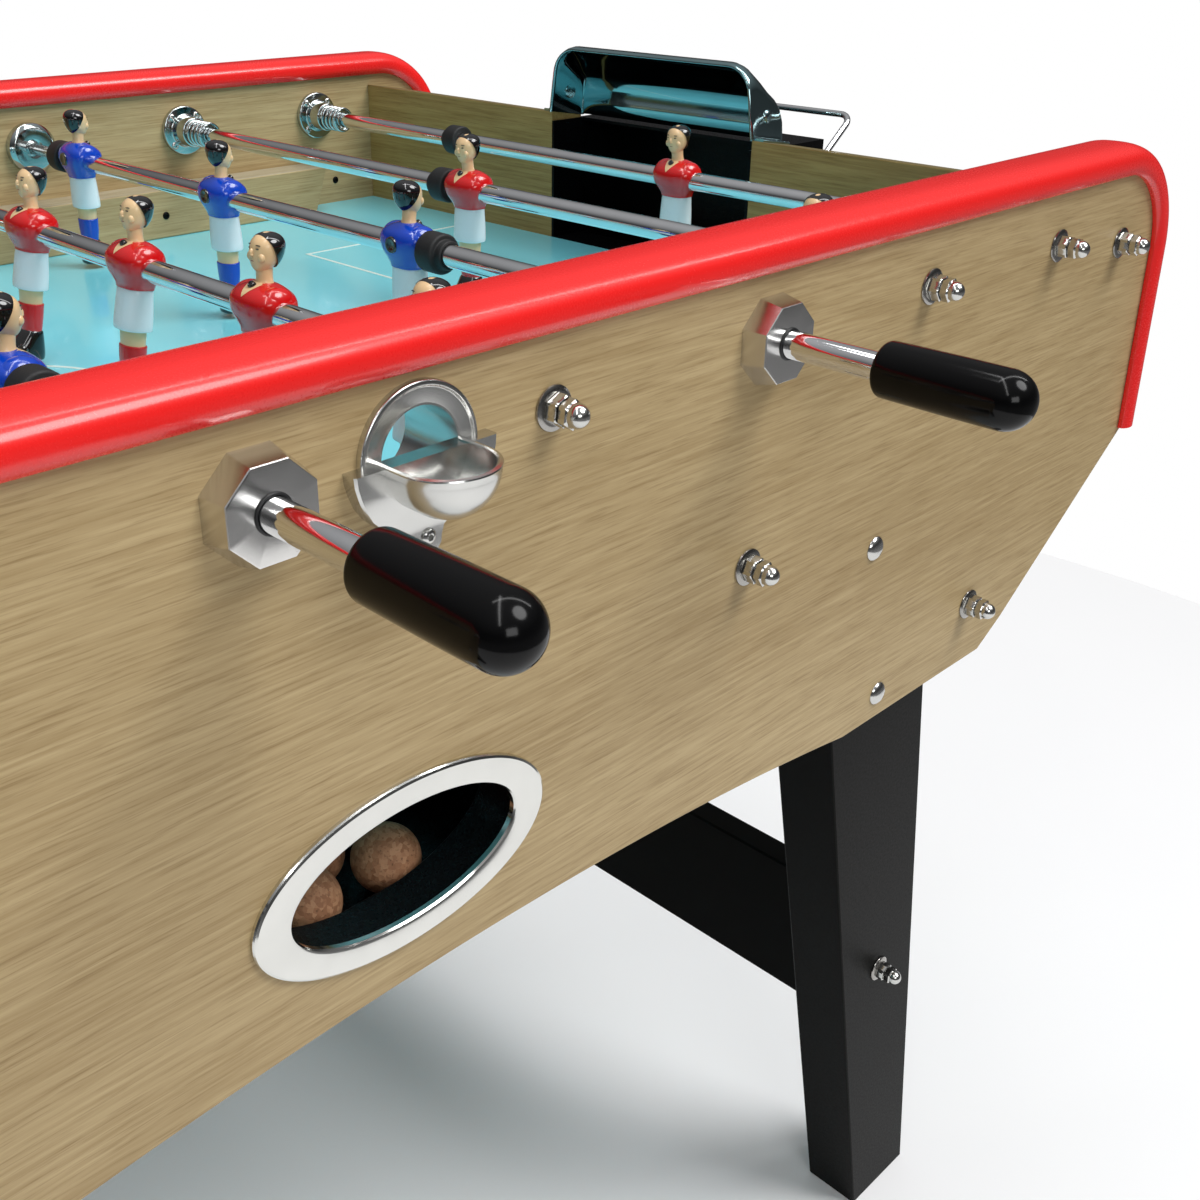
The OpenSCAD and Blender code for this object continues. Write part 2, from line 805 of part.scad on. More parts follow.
module leg_outline() {
    polygon([
        [322, leg_head_z],
        [488, leg_head_z],
        [488, side_bottom_z + 14],
        [481, side_bottom_z + 1],
        [leg_right_x, leg_knee_z],
        [leg_foot_x + foot_width, 0],
        [leg_foot_x, 0],
        [leg_left_x, leg_knee_z - 9]
    ]);
}

module legs() {
    color(black) four_corners() difference() {
        across(-inner_y, -inner_y + leg_thick) leg_outline();
        for (p = carriage_points) {
            bar_y(p[0], rod_height + p[1], -inner_y - 1, -inner_y + leg_thick + 1, bolt_r + tiny);
        }
        bar_y(leg_bolt[0], rod_height + leg_bolt[1], -inner_y - 1, -inner_y + leg_thick + 1, bolt_r + tiny);
        bar_y(stretcher_bolt[0], rod_height + stretcher_bolt[1], -inner_y - 1, -inner_y + leg_thick + 1,
            bolt_r + tiny);
    }
}

module leg_stretchers() {
    board_y = inner_y - leg_thick;
    color(black) mirror_x() difference() {
        translate([stretcher_x - stretcher_thick / 2, -board_y, stretcher_z - stretcher_height / 2])
            cube([stretcher_thick, 2 * board_y, stretcher_height]);
        mirror_y() bar_y(stretcher_bolt[0], rod_height + stretcher_bolt[1], -board_y - 1, -board_y + 61,
            bolt_r + tiny);
    }
}

// ---- Sliding rods ----

// Moves a child to a rod's axis, turned so that its grip side is -Y, at its stored shift
module on_rod(i) {
    translate([rod_x(i), rod_shift[i - 1], rod_height])
        mirror([0, rod_side[i - 1] > 0 ? 1 : 0, 0]) children();
}

module bumper() {
    difference() {
        union() {
            bar_y(0, 0, 0, bumper_length - 5, bumper_diameter / 2);
            bar_y(0, 0, bumper_length - 5, bumper_length, bumper_diameter / 2 - 3.5);
        }
        bar_y(0, 0, -1, bumper_length + 1, tube_r + running_gap);
    }
}

module rod_bumpers(i) {
    color(rubber) on_rod(i) mirror_y() translate([0, bumper_y(i), 0]) bumper();
}

// Hollow tube from the far bumper to inside the grip
module rod_tube(i) {
    start = grip_start(i) - tube_in_grip;
    color(chrome) on_rod(i) difference() {
        bar_y(0, 0, start, group_end(i), tube_r);
        bar_y(0, 0, start - 1, group_end(i) + 1, inner_r + running_gap);
    }
}

module rod_grip(i) {
    start = grip_start(i);
    r = grip_diameter / 2;
    color(black) on_rod(i) difference() {
        union() {
            translate([0, start, 0]) rotate([90, 0, 0]) cylinder(r1 = r - 2, r2 = r, h = 2);
            bar_y(0, 0, start - grip_length + r, start - 2, r);
            translate([0, start - grip_length + r, 0]) sphere(r = r);
        }
        bar_y(0, 0, start - tube_in_grip - 1, start + 1, tube_r + 0.02);
    }
}

foot_z = -83;
hip_z = -13;
hem_z = -37;
knee_z = -49;
ankle_z = -66;
collar_z = 14;
head_z = 29;
pin_r = 1.8;
pin_z = 11.5;
pin_head_r = 4.5;

// Figure seen from the side: X forward, Z up
module figure_side() {
    polygon([
        [-9, foot_z], [14, foot_z], [14, foot_z + 7], [7, ankle_z], [6, ankle_z], [6.5, knee_z],
        [7, hem_z], [10, hem_z], [9, hip_z], [12, -7], [15, -1], [15, 5], [12, 11], [5, collar_z],
        [-5, collar_z], [-12, 10], [-14, 3], [-13.5, -4], [-9, hip_z], [-10.5, hem_z], [-6, hem_z],
        [-6.5, knee_z], [-5.5, ankle_z], [-8, ankle_z]
    ]);
}

// Half of the figure seen from the front: across, up
half_front = [
    [10, foot_z], [10, ankle_z], [7.5, ankle_z], [8.5, knee_z], [9.5, hem_z], [13.5, hem_z],
    [12, hip_z], [15.5, -8], [figure_half, -1], [figure_half, 6], [16, 11], [9, collar_z]
];

module figure_front() {
    polygon(both_halves(half_front));
}

head_half_width = 10.5;
head_half_height = 12;

module head_shape() {
    rotate_extrude(angle = 360) polygon([
        for (a = [-90 : 10 : 90]) [head_half_width * max(cos(a), 0), head_half_height * sin(a)]
    ]);
}

module figure() {
    difference() {
        union() {
            intersection() {
                across(-20, 20) figure_side();
                translate([-20, 0, 0]) rotate([90, 0, 90]) linear_extrude(40) figure_front();
            }
            translate([1, 0, collar_z - 4]) cylinder(r = 5, h = 10);
            translate([1, 0, head_z]) head_shape();
        }
        bar_y(0, 0, -20, 20, tube_r + 0.02);
        translate([-15, 0, 0]) rotate([0, 90, 0]) cylinder(r = pin_head_r + 0.1, h = 4.5);
        translate([4, 0, pin_z]) rotate([0, 90, 0]) cylinder(r = pin_r + 0.1, h = 10);
    }
}

// Screw head behind and pin in front that hold the figure on its tube
module figure_pins() {
    translate([-13.4, 0, 0]) rotate([0, 90, 0]) cylinder(r = pin_head_r, h = 2.8);
    translate([4.1, 0, pin_z]) rotate([0, 90, 0]) cylinder(r = pin_r, h = 8);
}

module rod_team(i) {
    translate([rod_x(i), rod_shift[i - 1], rod_height]) for (y = rod_figures[i - 1]) {
        translate([0, y, 0]) rotate([0, rod_turn[i - 1], 0]) rotate([0, 0, rod_side[i - 1] < 0 ? 0 : 180]) {
            color(rod_side[i - 1] < 0 ? blue : red) figure();
            color(black) figure_pins();
        }
    }
}

side_panel_near();
side_panel_far();
side_trims();
end_panels();
playfield();
side_ledges();
goal_boxes();
goal_hoods();
score_bars();
entry_cups();
window_rings();
ball_troughs();
balls();
return_ramps();
fixed_rods();
end_discs();
bearing_blocks();
bearing_flanges();
bearing_bushes();
fixing_screws();
rod_springs();
panel_washers();
hex_nuts();
acorn_nuts();
carriage_bolts();
tie_bolts();
legs();
leg_stretchers();
for (i = [1 : rod_count]) {
    rod_bumpers(i);
    rod_tube(i);
    rod_team(i);
    rod_grip(i);
}
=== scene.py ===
import json
from math import acos, atan2, copysign, cos, hypot, pi, radians, sin, sqrt, tan

import bmesh
import bpy
from mathutils import Matrix, Vector


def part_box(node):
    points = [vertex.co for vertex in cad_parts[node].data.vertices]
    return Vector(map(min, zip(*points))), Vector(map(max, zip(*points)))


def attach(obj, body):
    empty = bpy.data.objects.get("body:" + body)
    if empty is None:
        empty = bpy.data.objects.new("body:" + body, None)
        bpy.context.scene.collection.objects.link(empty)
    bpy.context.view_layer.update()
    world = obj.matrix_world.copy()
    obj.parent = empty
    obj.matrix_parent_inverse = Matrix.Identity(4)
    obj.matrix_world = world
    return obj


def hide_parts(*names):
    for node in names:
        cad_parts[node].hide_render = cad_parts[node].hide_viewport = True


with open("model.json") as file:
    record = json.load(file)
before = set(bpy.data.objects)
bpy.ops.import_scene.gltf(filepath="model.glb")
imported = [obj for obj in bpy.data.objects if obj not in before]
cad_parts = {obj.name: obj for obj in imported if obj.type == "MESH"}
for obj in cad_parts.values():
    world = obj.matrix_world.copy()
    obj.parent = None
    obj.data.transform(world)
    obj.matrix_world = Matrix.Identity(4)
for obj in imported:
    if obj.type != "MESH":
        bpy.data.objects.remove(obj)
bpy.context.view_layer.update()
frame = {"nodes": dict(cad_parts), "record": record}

MM = 0.001
TAU = 2 * pi


# ---- sizes from the frame, in mm

def box_mm(node):
    """Low and high corner of a CAD node."""
    low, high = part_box(node)
    return low / MM, high / MM


joints = {j["name"]: j for j in frame["record"]["behaviour"]["joints"]}
near_low, near_high = box_mm("side_panel_near")
end_low, end_high = box_mm("end_panels")
field_low, field_high = box_mm("playfield")
window_low, window_high = box_mm("window_rings")
trough_low, trough_high = box_mm("ball_troughs")
board_low, board_high = box_mm("leg_stretchers")
bar_low, bar_high = box_mm("score_bars")
LEDGE_TOP = box_mm("side_ledges")[1].z
HOOD_TOP = box_mm("goal_hoods")[1].z

OUTER_Y = -near_low.y
INNER_Y = -near_high.y
SIDE_TOP = near_high.z
SIDE_BOTTOM = near_low.z
END_X = field_high.x
END_OUT = end_high.x
END_TOP = end_high.z
END_BOTTOM = end_low.z
FIELD_Z = field_high.z
ROD_Z = joints["rod1_slide"]["pos_m"][2] / MM
RODS = range(1, 9)
ROD_X = {i: joints["rod%d_slide" % i]["pos_m"][0] / MM for i in RODS}
ROD_SIDE = {i: -1 if box_mm("rod%d_grip" % i)[0].y < -OUTER_Y else 1 for i in RODS}
CABINET = "cabinet"
SIDES = ((-1, "near"), (1, "far"))
ENDS = ((1, "right"), (-1, "left"))


# ---- mesh helpers (all in mm)

def fillet(points, radius, steps=4, closed=False):
    """Rounds the corners of a 2D polyline. A point may carry its own radius as a third value."""
    out = []
    count = len(points)
    for i, p in enumerate(points):
        r = p[2] if len(p) > 2 else radius
        b = Vector(p[:2])
        if r <= 0 or (not closed and i in (0, count - 1)):
            out.append(tuple(b))
            continue
        u = Vector(points[i - 1][:2]) - b
        v = Vector(points[(i + 1) % count][:2]) - b
        lu, lv = u.length, v.length
        u.normalize()
        v.normalize()
        angle = u.angle(v)
        if angle > 3.1 or angle < 0.02:
            out.append(tuple(b))
            continue
        cut = min(r / tan(angle / 2), lu * 0.49, lv * 0.49)
        real = cut * tan(angle / 2)
        centre = b + (u + v).normalized() * (real / sin(angle / 2))
        s = b + u * cut - centre
        e = b + v * cut - centre
        turn = atan2(s.x * e.y - s.y * e.x, s.dot(e))
        for k in range(steps + 1):
            a = turn * k / steps
            out.append((centre.x + s.x * cos(a) - s.y * sin(a),
                centre.y + s.x * sin(a) + s.y * cos(a)))
    return out


def arc(cx, cy, r, start, end, steps):
    angles = [start + (end - start) * k / steps for k in range(steps + 1)]
    return [(cx + r * cos(a), cy + r * sin(a)) for a in angles]


def ellipse(cx, cy, rx, ry, steps=96):
    return [(cx + rx * cos(TAU * k / steps), cy + ry * sin(TAU * k / steps)) for k in range(steps)]


def rectangle(half, low, high):
    return [(-half, low), (half, low), (half, high), (-half, high)]


def along(path, i):
    """Direction of a path at one of its points."""
    return (Vector(path[min(i + 1, len(path) - 1)]) - Vector(path[max(i - 1, 0)])).normalized()


def superellipse(rx, ry, t, power):
    """A point on an oval; a power over 2 makes it squarer."""
    c, s = cos(t), sin(t)
    return rx * copysign(abs(c) ** (2 / power), c), ry * copysign(abs(s) ** (2 / power), s)


def clean(data, weld=0.0):
    """Turns all faces outwards, after joining points closer than weld (in metres)."""
    bm = bmesh.new()
    bm.from_mesh(data)
    if weld:
        bmesh.ops.remove_doubles(bm, verts=bm.verts, dist=weld)
    bmesh.ops.recalc_face_normals(bm, faces=bm.faces)
    bm.to_mesh(data)
    bm.free()


def scene_object(name, data):
    made = bpy.data.objects.new(name, data)
    bpy.context.scene.collection.objects.link(made)
    return made


def baked(temp):
    """The finished mesh of a temporary object, which is removed."""
    bpy.context.view_layer.update()
    depsgraph = bpy.context.evaluated_depsgraph_get()
    data = bpy.data.meshes.new_from_object(temp.evaluated_get(depsgraph))
    bpy.data.objects.remove(temp)
    return data


class Shape:
    """Vertices in mm and faces with a material number each."""

    def __init__(self):
        self.verts = []
        self.faces = []
        self.mats = []

    def add(self, verts, faces, mat=0, matrix=None):
        base = len(self.verts)
        self.verts.extend([tuple(matrix @ Vector(v)) if matrix else tuple(v) for v in verts])
        self.faces.extend([tuple(base + i for i in f) for f in faces])
        self.mats.extend([mat] * len(faces))
        return self

    def rings(self, rings, mat=0, close_ring=True, close_path=False, cap=True, matrix=None):
        """Skins a list of equal rings of points. A one-point ring is a pole."""
        verts, index = [], []
        for ring in rings:
            index.append(list(range(len(verts), len(verts) + len(ring))))
            verts.extend(ring)
        faces = []
        pairs = list(zip(index, index[1:])) + ([(index[-1], index[0])] if close_path else [])
        for a, b in pairs:
            n = max(len(a), len(b))
            for k in range(n if close_ring else n - 1):
                j = (k + 1) % n
                if len(a) == 1:
                    faces.append((a[0], b[j], b[k]))
                elif len(b) == 1:
                    faces.append((a[k], a[j], b[0]))
                else:
                    faces.append((a[k], a[j], b[j], b[k]))
        if cap and not close_path and close_ring:
            for ring, flip in ((index[0], True), (index[-1], False)):
                if len(ring) > 2:
                    faces.append(tuple(reversed(ring)) if flip else tuple(ring))
        return self.add(verts, faces, mat, matrix)

    def lathe(self, profile, mat=0, n=64, loop=False, matrix=None):
        """Turns (radius, y) points round the Y axis."""
        rings = []
        for r, y in profile:
            if r < 1e-6:
                rings.append([(0.0, y, 0.0)])
            else:
                rings.append([(a, y, b) for a, b in ellipse(0, 0, r, r, n)])
        return self.rings(rings, mat, close_path=loop, matrix=matrix)

    def prism_lathe(self, profile, sides, mat=0, n=64, loop=False):
        """As lathe, with (apothem, y, roundness) points: 0 is the polygon and 1 the circle."""
        part = TAU / sides
        rings = []
        for a, y, roundness in profile:
            ring = []
            for k in range(n):
                t = TAU * k / n
                off = ((t + part / 2) % part) - part / 2
                r = a / cos(off) * (1 - roundness) + a * roundness
                ring.append((r * cos(t), y, r * sin(t)))
            rings.append(ring)
        return self.rings(rings, mat, close_path=loop, cap=not loop)

    def sweep(self, path, section):
        """Carries (out, side) points along a path: side is along Y and out is square to both."""
        across = Vector((0, 1, 0))
        rings = []
        for i, p in enumerate(path):
            out = across.cross(along(path, i)).normalized()
            rings.append([tuple(Vector(p) + out * a + across * b) for a, b in section])
        return self.rings(rings)

    def tube(self, path, radius, n):
        """A round wire along a path, with a frame that doesn't twist."""
        normal = along(path, 0).orthogonal().normalized()
        rings = []
        for i, p in enumerate(path):
            d = along(path, i)
            normal = (normal - d * normal.dot(d)).normalized()
            other = d.cross(normal)
            rings.append([tuple(Vector(p) + normal * (radius * cos(TAU * k / n)) + other
                * (radius * sin(TAU * k / n))) for k in range(n)])
        return self.rings(rings)

    def ball(self, centre, radii, mat=0, rings=16, n=24):
        """An ellipsoid."""
        c = Vector(centre)
        loops = [[tuple(c + Vector((0, 0, -radii[2])))]]
        for k in range(1, rings):
            t = -pi / 2 + pi * k / rings
            loops.append([tuple(c + Vector((radii[0] * cos(t) * cos(TAU * j / n),
                radii[1] * cos(t) * sin(TAU * j / n), radii[2] * sin(t)))) for j in range(n)])
        loops.append([tuple(c + Vector((0, 0, radii[2])))])
        return self.rings(loops, mat)

    def mesh(self, name, materials, sharp=32, flat=False):
        """The shape as a Blender mesh, in metres, with edges kept sharp from an angle upwards."""
        data = bpy.data.meshes.new(name)
        data.from_pydata([Vector(v) * MM for v in self.verts], [], self.faces)
        for m in materials:
            data.materials.append(m)
        data.polygons.foreach_set("material_index", self.mats)
        clean(data)
        data.polygons.foreach_set("use_smooth", [not flat] * len(data.polygons))
        if not flat:
            data.set_sharp_from_angle(angle=radians(sharp))
        data.update()
        return data


def place(name, data, body, matrix=None, replaces=()):
    """Shows a mesh as one piece that rides on a body."""
    piece = scene_object(name, data)
    if matrix is not None:
        piece.matrix_world = matrix
    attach(piece, body)
    if replaces:
        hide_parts(*replaces)
    return piece


def fixed(name, data, node, matrix=None):
    """A piece of the cabinet in place of one CAD node."""
    return place(name, data, CABINET, matrix, [node])


def facing(side):
    """Turn about Z that points a near-side shape outwards on either side."""
    return 0 if side < 0 else 180


def spin(degrees, axis):
    return Matrix.Rotation(radians(degrees), 4, axis)


def move(x=0.0, y=0.0, z=0.0, turn=0.0):
    """A matrix in metres from mm, with a turn about Z in degrees."""
    return Matrix.Translation((x * MM, y * MM, z * MM)) @ spin(turn, "Z")


TO_Y = spin(90, "X")
TO_X = Matrix(((0, 0, 1, 0), (1, 0, 0, 0), (0, 1, 0, 0), (0, 0, 0, 1)))


def plate(name, loops, low, high, bevel, material, axis="Y"):
    """A flat board with softened edges: outer loop and holes, between two positions on an axis."""
    curve = bpy.data.curves.new(name, "CURVE")
    curve.dimensions = "2D"
    curve.fill_mode = "BOTH"
    for loop in loops:
        spline = curve.splines.new("POLY")
        spline.points.add(len(loop) - 1)
        for point, (a, b) in zip(spline.points, loop):
            point.co = (a * MM, b * MM, 0, 1)
        spline.use_cyclic_u = True
    curve.extrude = ((high - low) / 2 - bevel) * MM
    curve.bevel_depth = bevel * MM
    curve.bevel_resolution = 1
    curve.offset = -bevel * MM
    data = baked(scene_object(name, curve))
    bpy.data.curves.remove(curve)
    data.name = name
    middle = (low + high) / 2 * MM
    if axis == "Y":
        data.transform(Matrix.Translation((0, middle, 0)) @ TO_Y)
    elif axis == "X":
        data.transform(Matrix.Translation((middle, 0, 0)) @ TO_X)
    else:
        data.transform(Matrix.Translation((0, 0, middle)))
    clean(data, 1e-6)
    data.polygons.foreach_set("use_smooth", [False] * len(data.polygons))
    data.materials.clear()
    data.materials.append(material)
    return data


def hollow_part(name, material, outline, radius, steps, n, sharp=35):
    """A round part with a hole, from a closed (radius, y) outline whose corners get rounded."""
    profile = fillet(outline, radius, steps, closed=True)
    return Shape().lathe(profile, loop=True, n=n).mesh(name, [material], sharp=sharp)


def joined(name, meshes):
    """Several meshes that share their materials as one."""
    bm = bmesh.new()
    for data in meshes:
        bm.from_mesh(data)
    out = bpy.data.meshes.new(name)
    bm.to_mesh(out)
    bm.free()
    for m in meshes[0].materials:
        out.materials.append(m)
    return out


# ---- materials

def add_node(tree, kind, inputs, **settings):
    """A shader node with its settings. An input is a value or another node's output."""
    n = tree.nodes.new(kind)
    for key, value in settings.items():
        setattr(n, key, value)
    for key, value in inputs.items():
        if isinstance(value, bpy.types.NodeSocket):
            tree.links.new(value, n.inputs[key])
        else:
            n.inputs[key].default_value = value
    return n


def colour_ramp(tree, factor, stops):
    n = add_node(tree, "ShaderNodeValToRGB", {"Fac": factor})
    elements = n.color_ramp.elements
    while len(elements) < len(stops):
        elements.new(0.5)
    for e, (at, colour) in zip(elements, stops):
        e.position = at
        e.color = (*colour, 1.0)
    return n.outputs["Color"]


class Nodes:
    """Short way to write a node material."""

    def __init__(self, name):
        self.material = bpy.data.materials.new(name)
        self.material.use_nodes = True
        self.tree = self.material.node_tree
        self.shader = self.tree.nodes["Principled BSDF"]
        self.coords = self.tree.nodes.new("ShaderNodeTexCoord")

    def set(self, **values):
        for key, value in values.items():
            socket = self.shader.inputs[key.replace("_", " ")]
            socket.default_value = value

    def node(self, kind, inputs, **settings):
        return add_node(self.tree, kind, inputs, **settings)

    def mapped(self, scale):
        return self.node("ShaderNodeMapping", {"Vector": self.coords.outputs["Object"],
            "Scale": scale}).outputs["Vector"]

    def noise(self, scale, vector=None, detail=4.0, roughness=0.5, distortion=0.0):
        n = self.node("ShaderNodeTexNoise", {"Vector": vector or self.coords.outputs["Object"],
            "Scale": scale, "Detail": detail, "Roughness": roughness, "Distortion": distortion})
        return n.outputs["Fac"]

    def ramp(self, factor, stops):
        return colour_ramp(self.tree, factor, stops)

    def mix(self, factor, a, b, mode="MIX"):
        a, b = ((*v, 1.0) if isinstance(v, tuple) else v for v in (a, b))
        return self.node("ShaderNodeMix", {0: factor, 6: a, 7: b}, data_type="RGBA",
            blend_type=mode).outputs[2]

    def span(self, value, low, high, from_low=0.0, from_high=1.0):
        n = self.node("ShaderNodeMapRange", {"Value": value, "From Min": from_low,
            "From Max": from_high, "To Min": low, "To Max": high})
        return n.outputs["Result"]

    def math(self, operation, a, b=0.0):
        return self.node("ShaderNodeMath", {0: a, 1: b}, operation=operation).outputs[0]

    def sum(self, a, share_a, b, share_b):
        return self.math("ADD", self.math("MULTIPLY", a, share_a),
            self.math("MULTIPLY", b, share_b))

    def colour(self, socket):
        self.tree.links.new(socket, self.shader.inputs["Base Color"])

    def clouded(self, cloud, colour, dark, most, start=0.3):
        """Base colour that is darker where the cloud noise is high."""
        share = self.span(cloud, 0.0, most, start, 0.75)
        self.colour(self.mix(share, colour, tuple(c * dark for c in colour)))

    def rough(self, socket):
        self.tree.links.new(socket, self.shader.inputs["Roughness"])

    def bump(self, height, strength, distance):
        n = self.node("ShaderNodeBump", {"Height": height, "Strength": strength,
            "Distance": distance})
        self.tree.links.new(n.outputs["Normal"], self.shader.inputs["Normal"])


def srgb(r, g, b):
    """A colour as seen on screen, 0 to 255, to linear light."""
    return tuple(((c / 255 + 0.055) / 1.055) ** 2.4 if c > 10 else c / 255 / 12.92
        for c in (r, g, b))


def oak(name, along="X", light=srgb(186, 164, 122), dark=srgb(158, 134, 92)):
    """Fine straight printed oak grain along one axis: short soft streaks and darker pores."""
    m = Nodes(name)
    stretch = {"X": (1.0, 30.0, 30.0), "Y": (30.0, 1.0, 30.0)}[along]
    streak = m.noise(14.0, m.mapped(stretch), detail=5.0, roughness=0.6, distortion=0.15)
    pore = m.noise(34.0, m.mapped(stretch), detail=3.0, roughness=0.65)
    band = m.noise(2.4, m.mapped(tuple(v ** 0.6 for v in stretch)), detail=3.0)
    tint = m.span(m.sum(streak, 0.72, band, 0.28), 0.0, 1.0, 0.36, 0.64)
    base = m.mix(tint, dark, light)
    pores = m.ramp(pore, [(0.34, (0.74, 0.70, 0.64)), (0.47, (1, 1, 1))])
    m.colour(m.mix(0.8, base, pores, "MULTIPLY"))
    m.rough(m.span(pore, 0.56, 0.42))
    m.bump(m.sum(pore, 0.6, streak, 0.4), 0.2, 0.0001)
    m.set(Specular_IOR_Level=0.4)
    return m.material


def gloss(name, colour, rough=0.16, coat=0.6, peel=0.05, dust=0.03, dark=0.8, scale=35.0,
        shine=0.5):
    """Smooth moulded or sprayed plastic and enamel: faint waviness, cloudy tone and fine wear."""
    m = Nodes(name)
    cloud = m.noise(scale * 0.4, detail=3.0)
    fine = m.noise(scale * 40, detail=2.0)
    m.clouded(cloud, colour, dark, 0.5)
    m.rough(m.span(m.sum(cloud, 0.6, fine, 0.4), rough - dust, rough + dust, 0.3, 0.7))
    m.bump(m.noise(scale, detail=2.0), peel, 0.001)
    m.set(Coat_Weight=coat, Coat_Roughness=0.05, Specular_IOR_Level=shine)
    return m.material


def metal(name, colour=(0.78, 0.79, 0.8), rough=0.07, grain=None, wear=0.05, wave=0.02):
    """Plated metal with fine polishing lines and small cloudy changes."""
    m = Nodes(name)
    cloud = m.noise(60.0, detail=4.0)
    lines = m.noise(1.0, m.mapped(grain or (900, 60, 900)), detail=3.0, roughness=0.6)
    m.clouded(cloud, colour, 0.86, 0.35, 0.35)
    m.rough(m.span(m.sum(cloud, 0.5, lines, 0.5), rough, rough + wear, 0.3, 0.7))
    m.bump(lines, wave, 0.0001)
    m.set(Metallic=1.0)
    return m.material


def matte(name, colour, rough=0.6, peel=0.25, scale=900.0, speck=0.75, shine=0.5):
    """Fine-grained plastic, rubber or paint."""
    m = Nodes(name)
    cloud = m.noise(30.0, detail=3.0)
    fine = m.noise(scale, detail=3.0, roughness=0.65)
    m.clouded(cloud, colour, speck, 0.7)
    m.rough(m.span(fine, rough - 0.08, rough + 0.08, 0.3, 0.7))
    m.bump(fine, peel, 0.0001)
    m.set(Specular_IOR_Level=shine)
    return m.material


def cork(name):
    """Pressed cork: warm grains of several tones with dark pits."""
    m = Nodes(name)
    cell = m.node("ShaderNodeTexVoronoi", {"Scale": 420.0, "Vector": m.coords.outputs["Object"]},
        feature="F1")
    grain = m.ramp(cell.outputs["Color"], [(0.15, srgb(150, 104, 72)), (0.5, srgb(176, 128, 92)),
        (0.85, srgb(194, 148, 110))])
    cloud = m.noise(60.0, detail=4.0)
    pit = m.noise(700.0, detail=3.0)
    toned = m.mix(m.span(cloud, 0.0, 0.5, 0.35, 0.7), grain, srgb(138, 94, 66))
    m.colour(m.mix(m.span(pit, 0.7, 0.0, 0.28, 0.42), toned, srgb(92, 60, 40)))
    m.set(Roughness=0.75)
    m.bump(m.math("ADD", pit, m.math("MULTIPLY", cell.outputs["Distance"], 1.5)), 0.6, 0.0003)
    return m.material


M_OAK_X = oak("oak_along_x")
M_OAK_Y = oak("oak_along_y", "Y", light=srgb(166, 142, 86), dark=srgb(136, 110, 60))
M_LEDGE = oak("ledge_wood", light=srgb(176, 168, 144), dark=srgb(150, 138, 112))
# Darker copy of the end boards' oak: painted shade for their top edge
M_TOP_SHADE = oak("painted_shade_top", "Y", light=srgb(120, 106, 66), dark=srgb(98, 86, 50))
M_PLY = oak("plywood", light=srgb(190, 160, 116), dark=srgb(158, 126, 86))
M_RED = gloss("red_trim", srgb(240, 34, 32), rough=0.27, coat=0.25, peel=0.04, dark=0.9, scale=22.0)
M_CHROME = metal("chrome", rough=0.045, wear=0.03)
M_HOOD = metal("hood_chrome", colour=(0.30, 0.44, 0.46), rough=0.06, wear=0.03)
M_FITTING = metal("fitting_chrome", colour=(0.50, 0.55, 0.55), rough=0.08, wear=0.04)
M_PLATE = metal("polished_plate", colour=(0.68, 0.68, 0.65), rough=0.10, wear=0.07,
    grain=(40, 900, 40))
M_NICKEL = metal("nickel", colour=(0.58, 0.58, 0.56), rough=0.13, wear=0.08)
M_WASHER = metal("washer_plate", colour=(0.36, 0.35, 0.33), rough=0.16, wear=0.08)
M_STEEL = metal("ground_steel", colour=(0.6, 0.6, 0.6), rough=0.22, wear=0.08, grain=(900, 40, 900))
M_BLOCK = metal("block_plate", colour=(0.70, 0.69, 0.67), rough=0.17, wear=0.06, wave=0.01)
M_CAST = metal("satin_casting", colour=(0.62, 0.62, 0.60), rough=0.20, wear=0.05,
    grain=(160, 160, 160), wave=0.004)
M_GRIP = gloss("grip_plastic", (0.0022, 0.0022, 0.0024), rough=0.14, coat=0.0, peel=0.01, dark=0.6,
    shine=0.18)
M_BLACK = matte("black_plastic", (0.0025, 0.0025, 0.0028), rough=0.3, peel=0.05, shine=0.1)
M_NYLON = matte("nylon", (0.008, 0.008, 0.009), rough=0.45, peel=0.08)
M_RUBBER = matte("rubber", (0.008, 0.008, 0.0085), rough=0.62, peel=0.3, scale=1400.0)
M_LEG = matte("black_lacquer", (0.0026, 0.0026, 0.0022), rough=0.42, peel=0.08, scale=500.0,
    shine=0.05)
M_FIELD = gloss("field_sheet", srgb(124, 214, 228), rough=0.2, coat=0.35, peel=0.03, dark=0.94,
    scale=8.0)
M_LINE = gloss("line_paint", srgb(214, 232, 226), rough=0.3, coat=0.2, peel=0.02, dark=0.94)
M_SKIN = gloss("skin_enamel", srgb(232, 196, 148), rough=0.3, coat=0.3, peel=0.04, dark=0.9,
    scale=120.0)
M_HAIR = gloss("hair_enamel", (0.004, 0.004, 0.005), rough=0.1, coat=0.7, peel=0.05, scale=150.0)
M_JERSEY = {-1: gloss("blue_enamel", srgb(2, 62, 182), rough=0.2, coat=0.6, peel=0.07, scale=120.0),
    1: gloss("red_enamel", srgb(206, 10, 14), rough=0.2, coat=0.6, peel=0.07, scale=120.0)}
M_LIPS = gloss("lip_enamel", srgb(168, 70, 60), rough=0.3, coat=0.3, scale=120.0)
M_WHITE = gloss("white_enamel", srgb(226, 236, 240), rough=0.28, coat=0.4, peel=0.05, dark=0.95,
    scale=120.0)
M_CORK = cork("cork")


def repaint(node, material):
    """Gives a CAD node that stays as it is a finished material."""
    for s in frame["nodes"][node].material_slots:
        s.material = material


# ---- cabinet boards

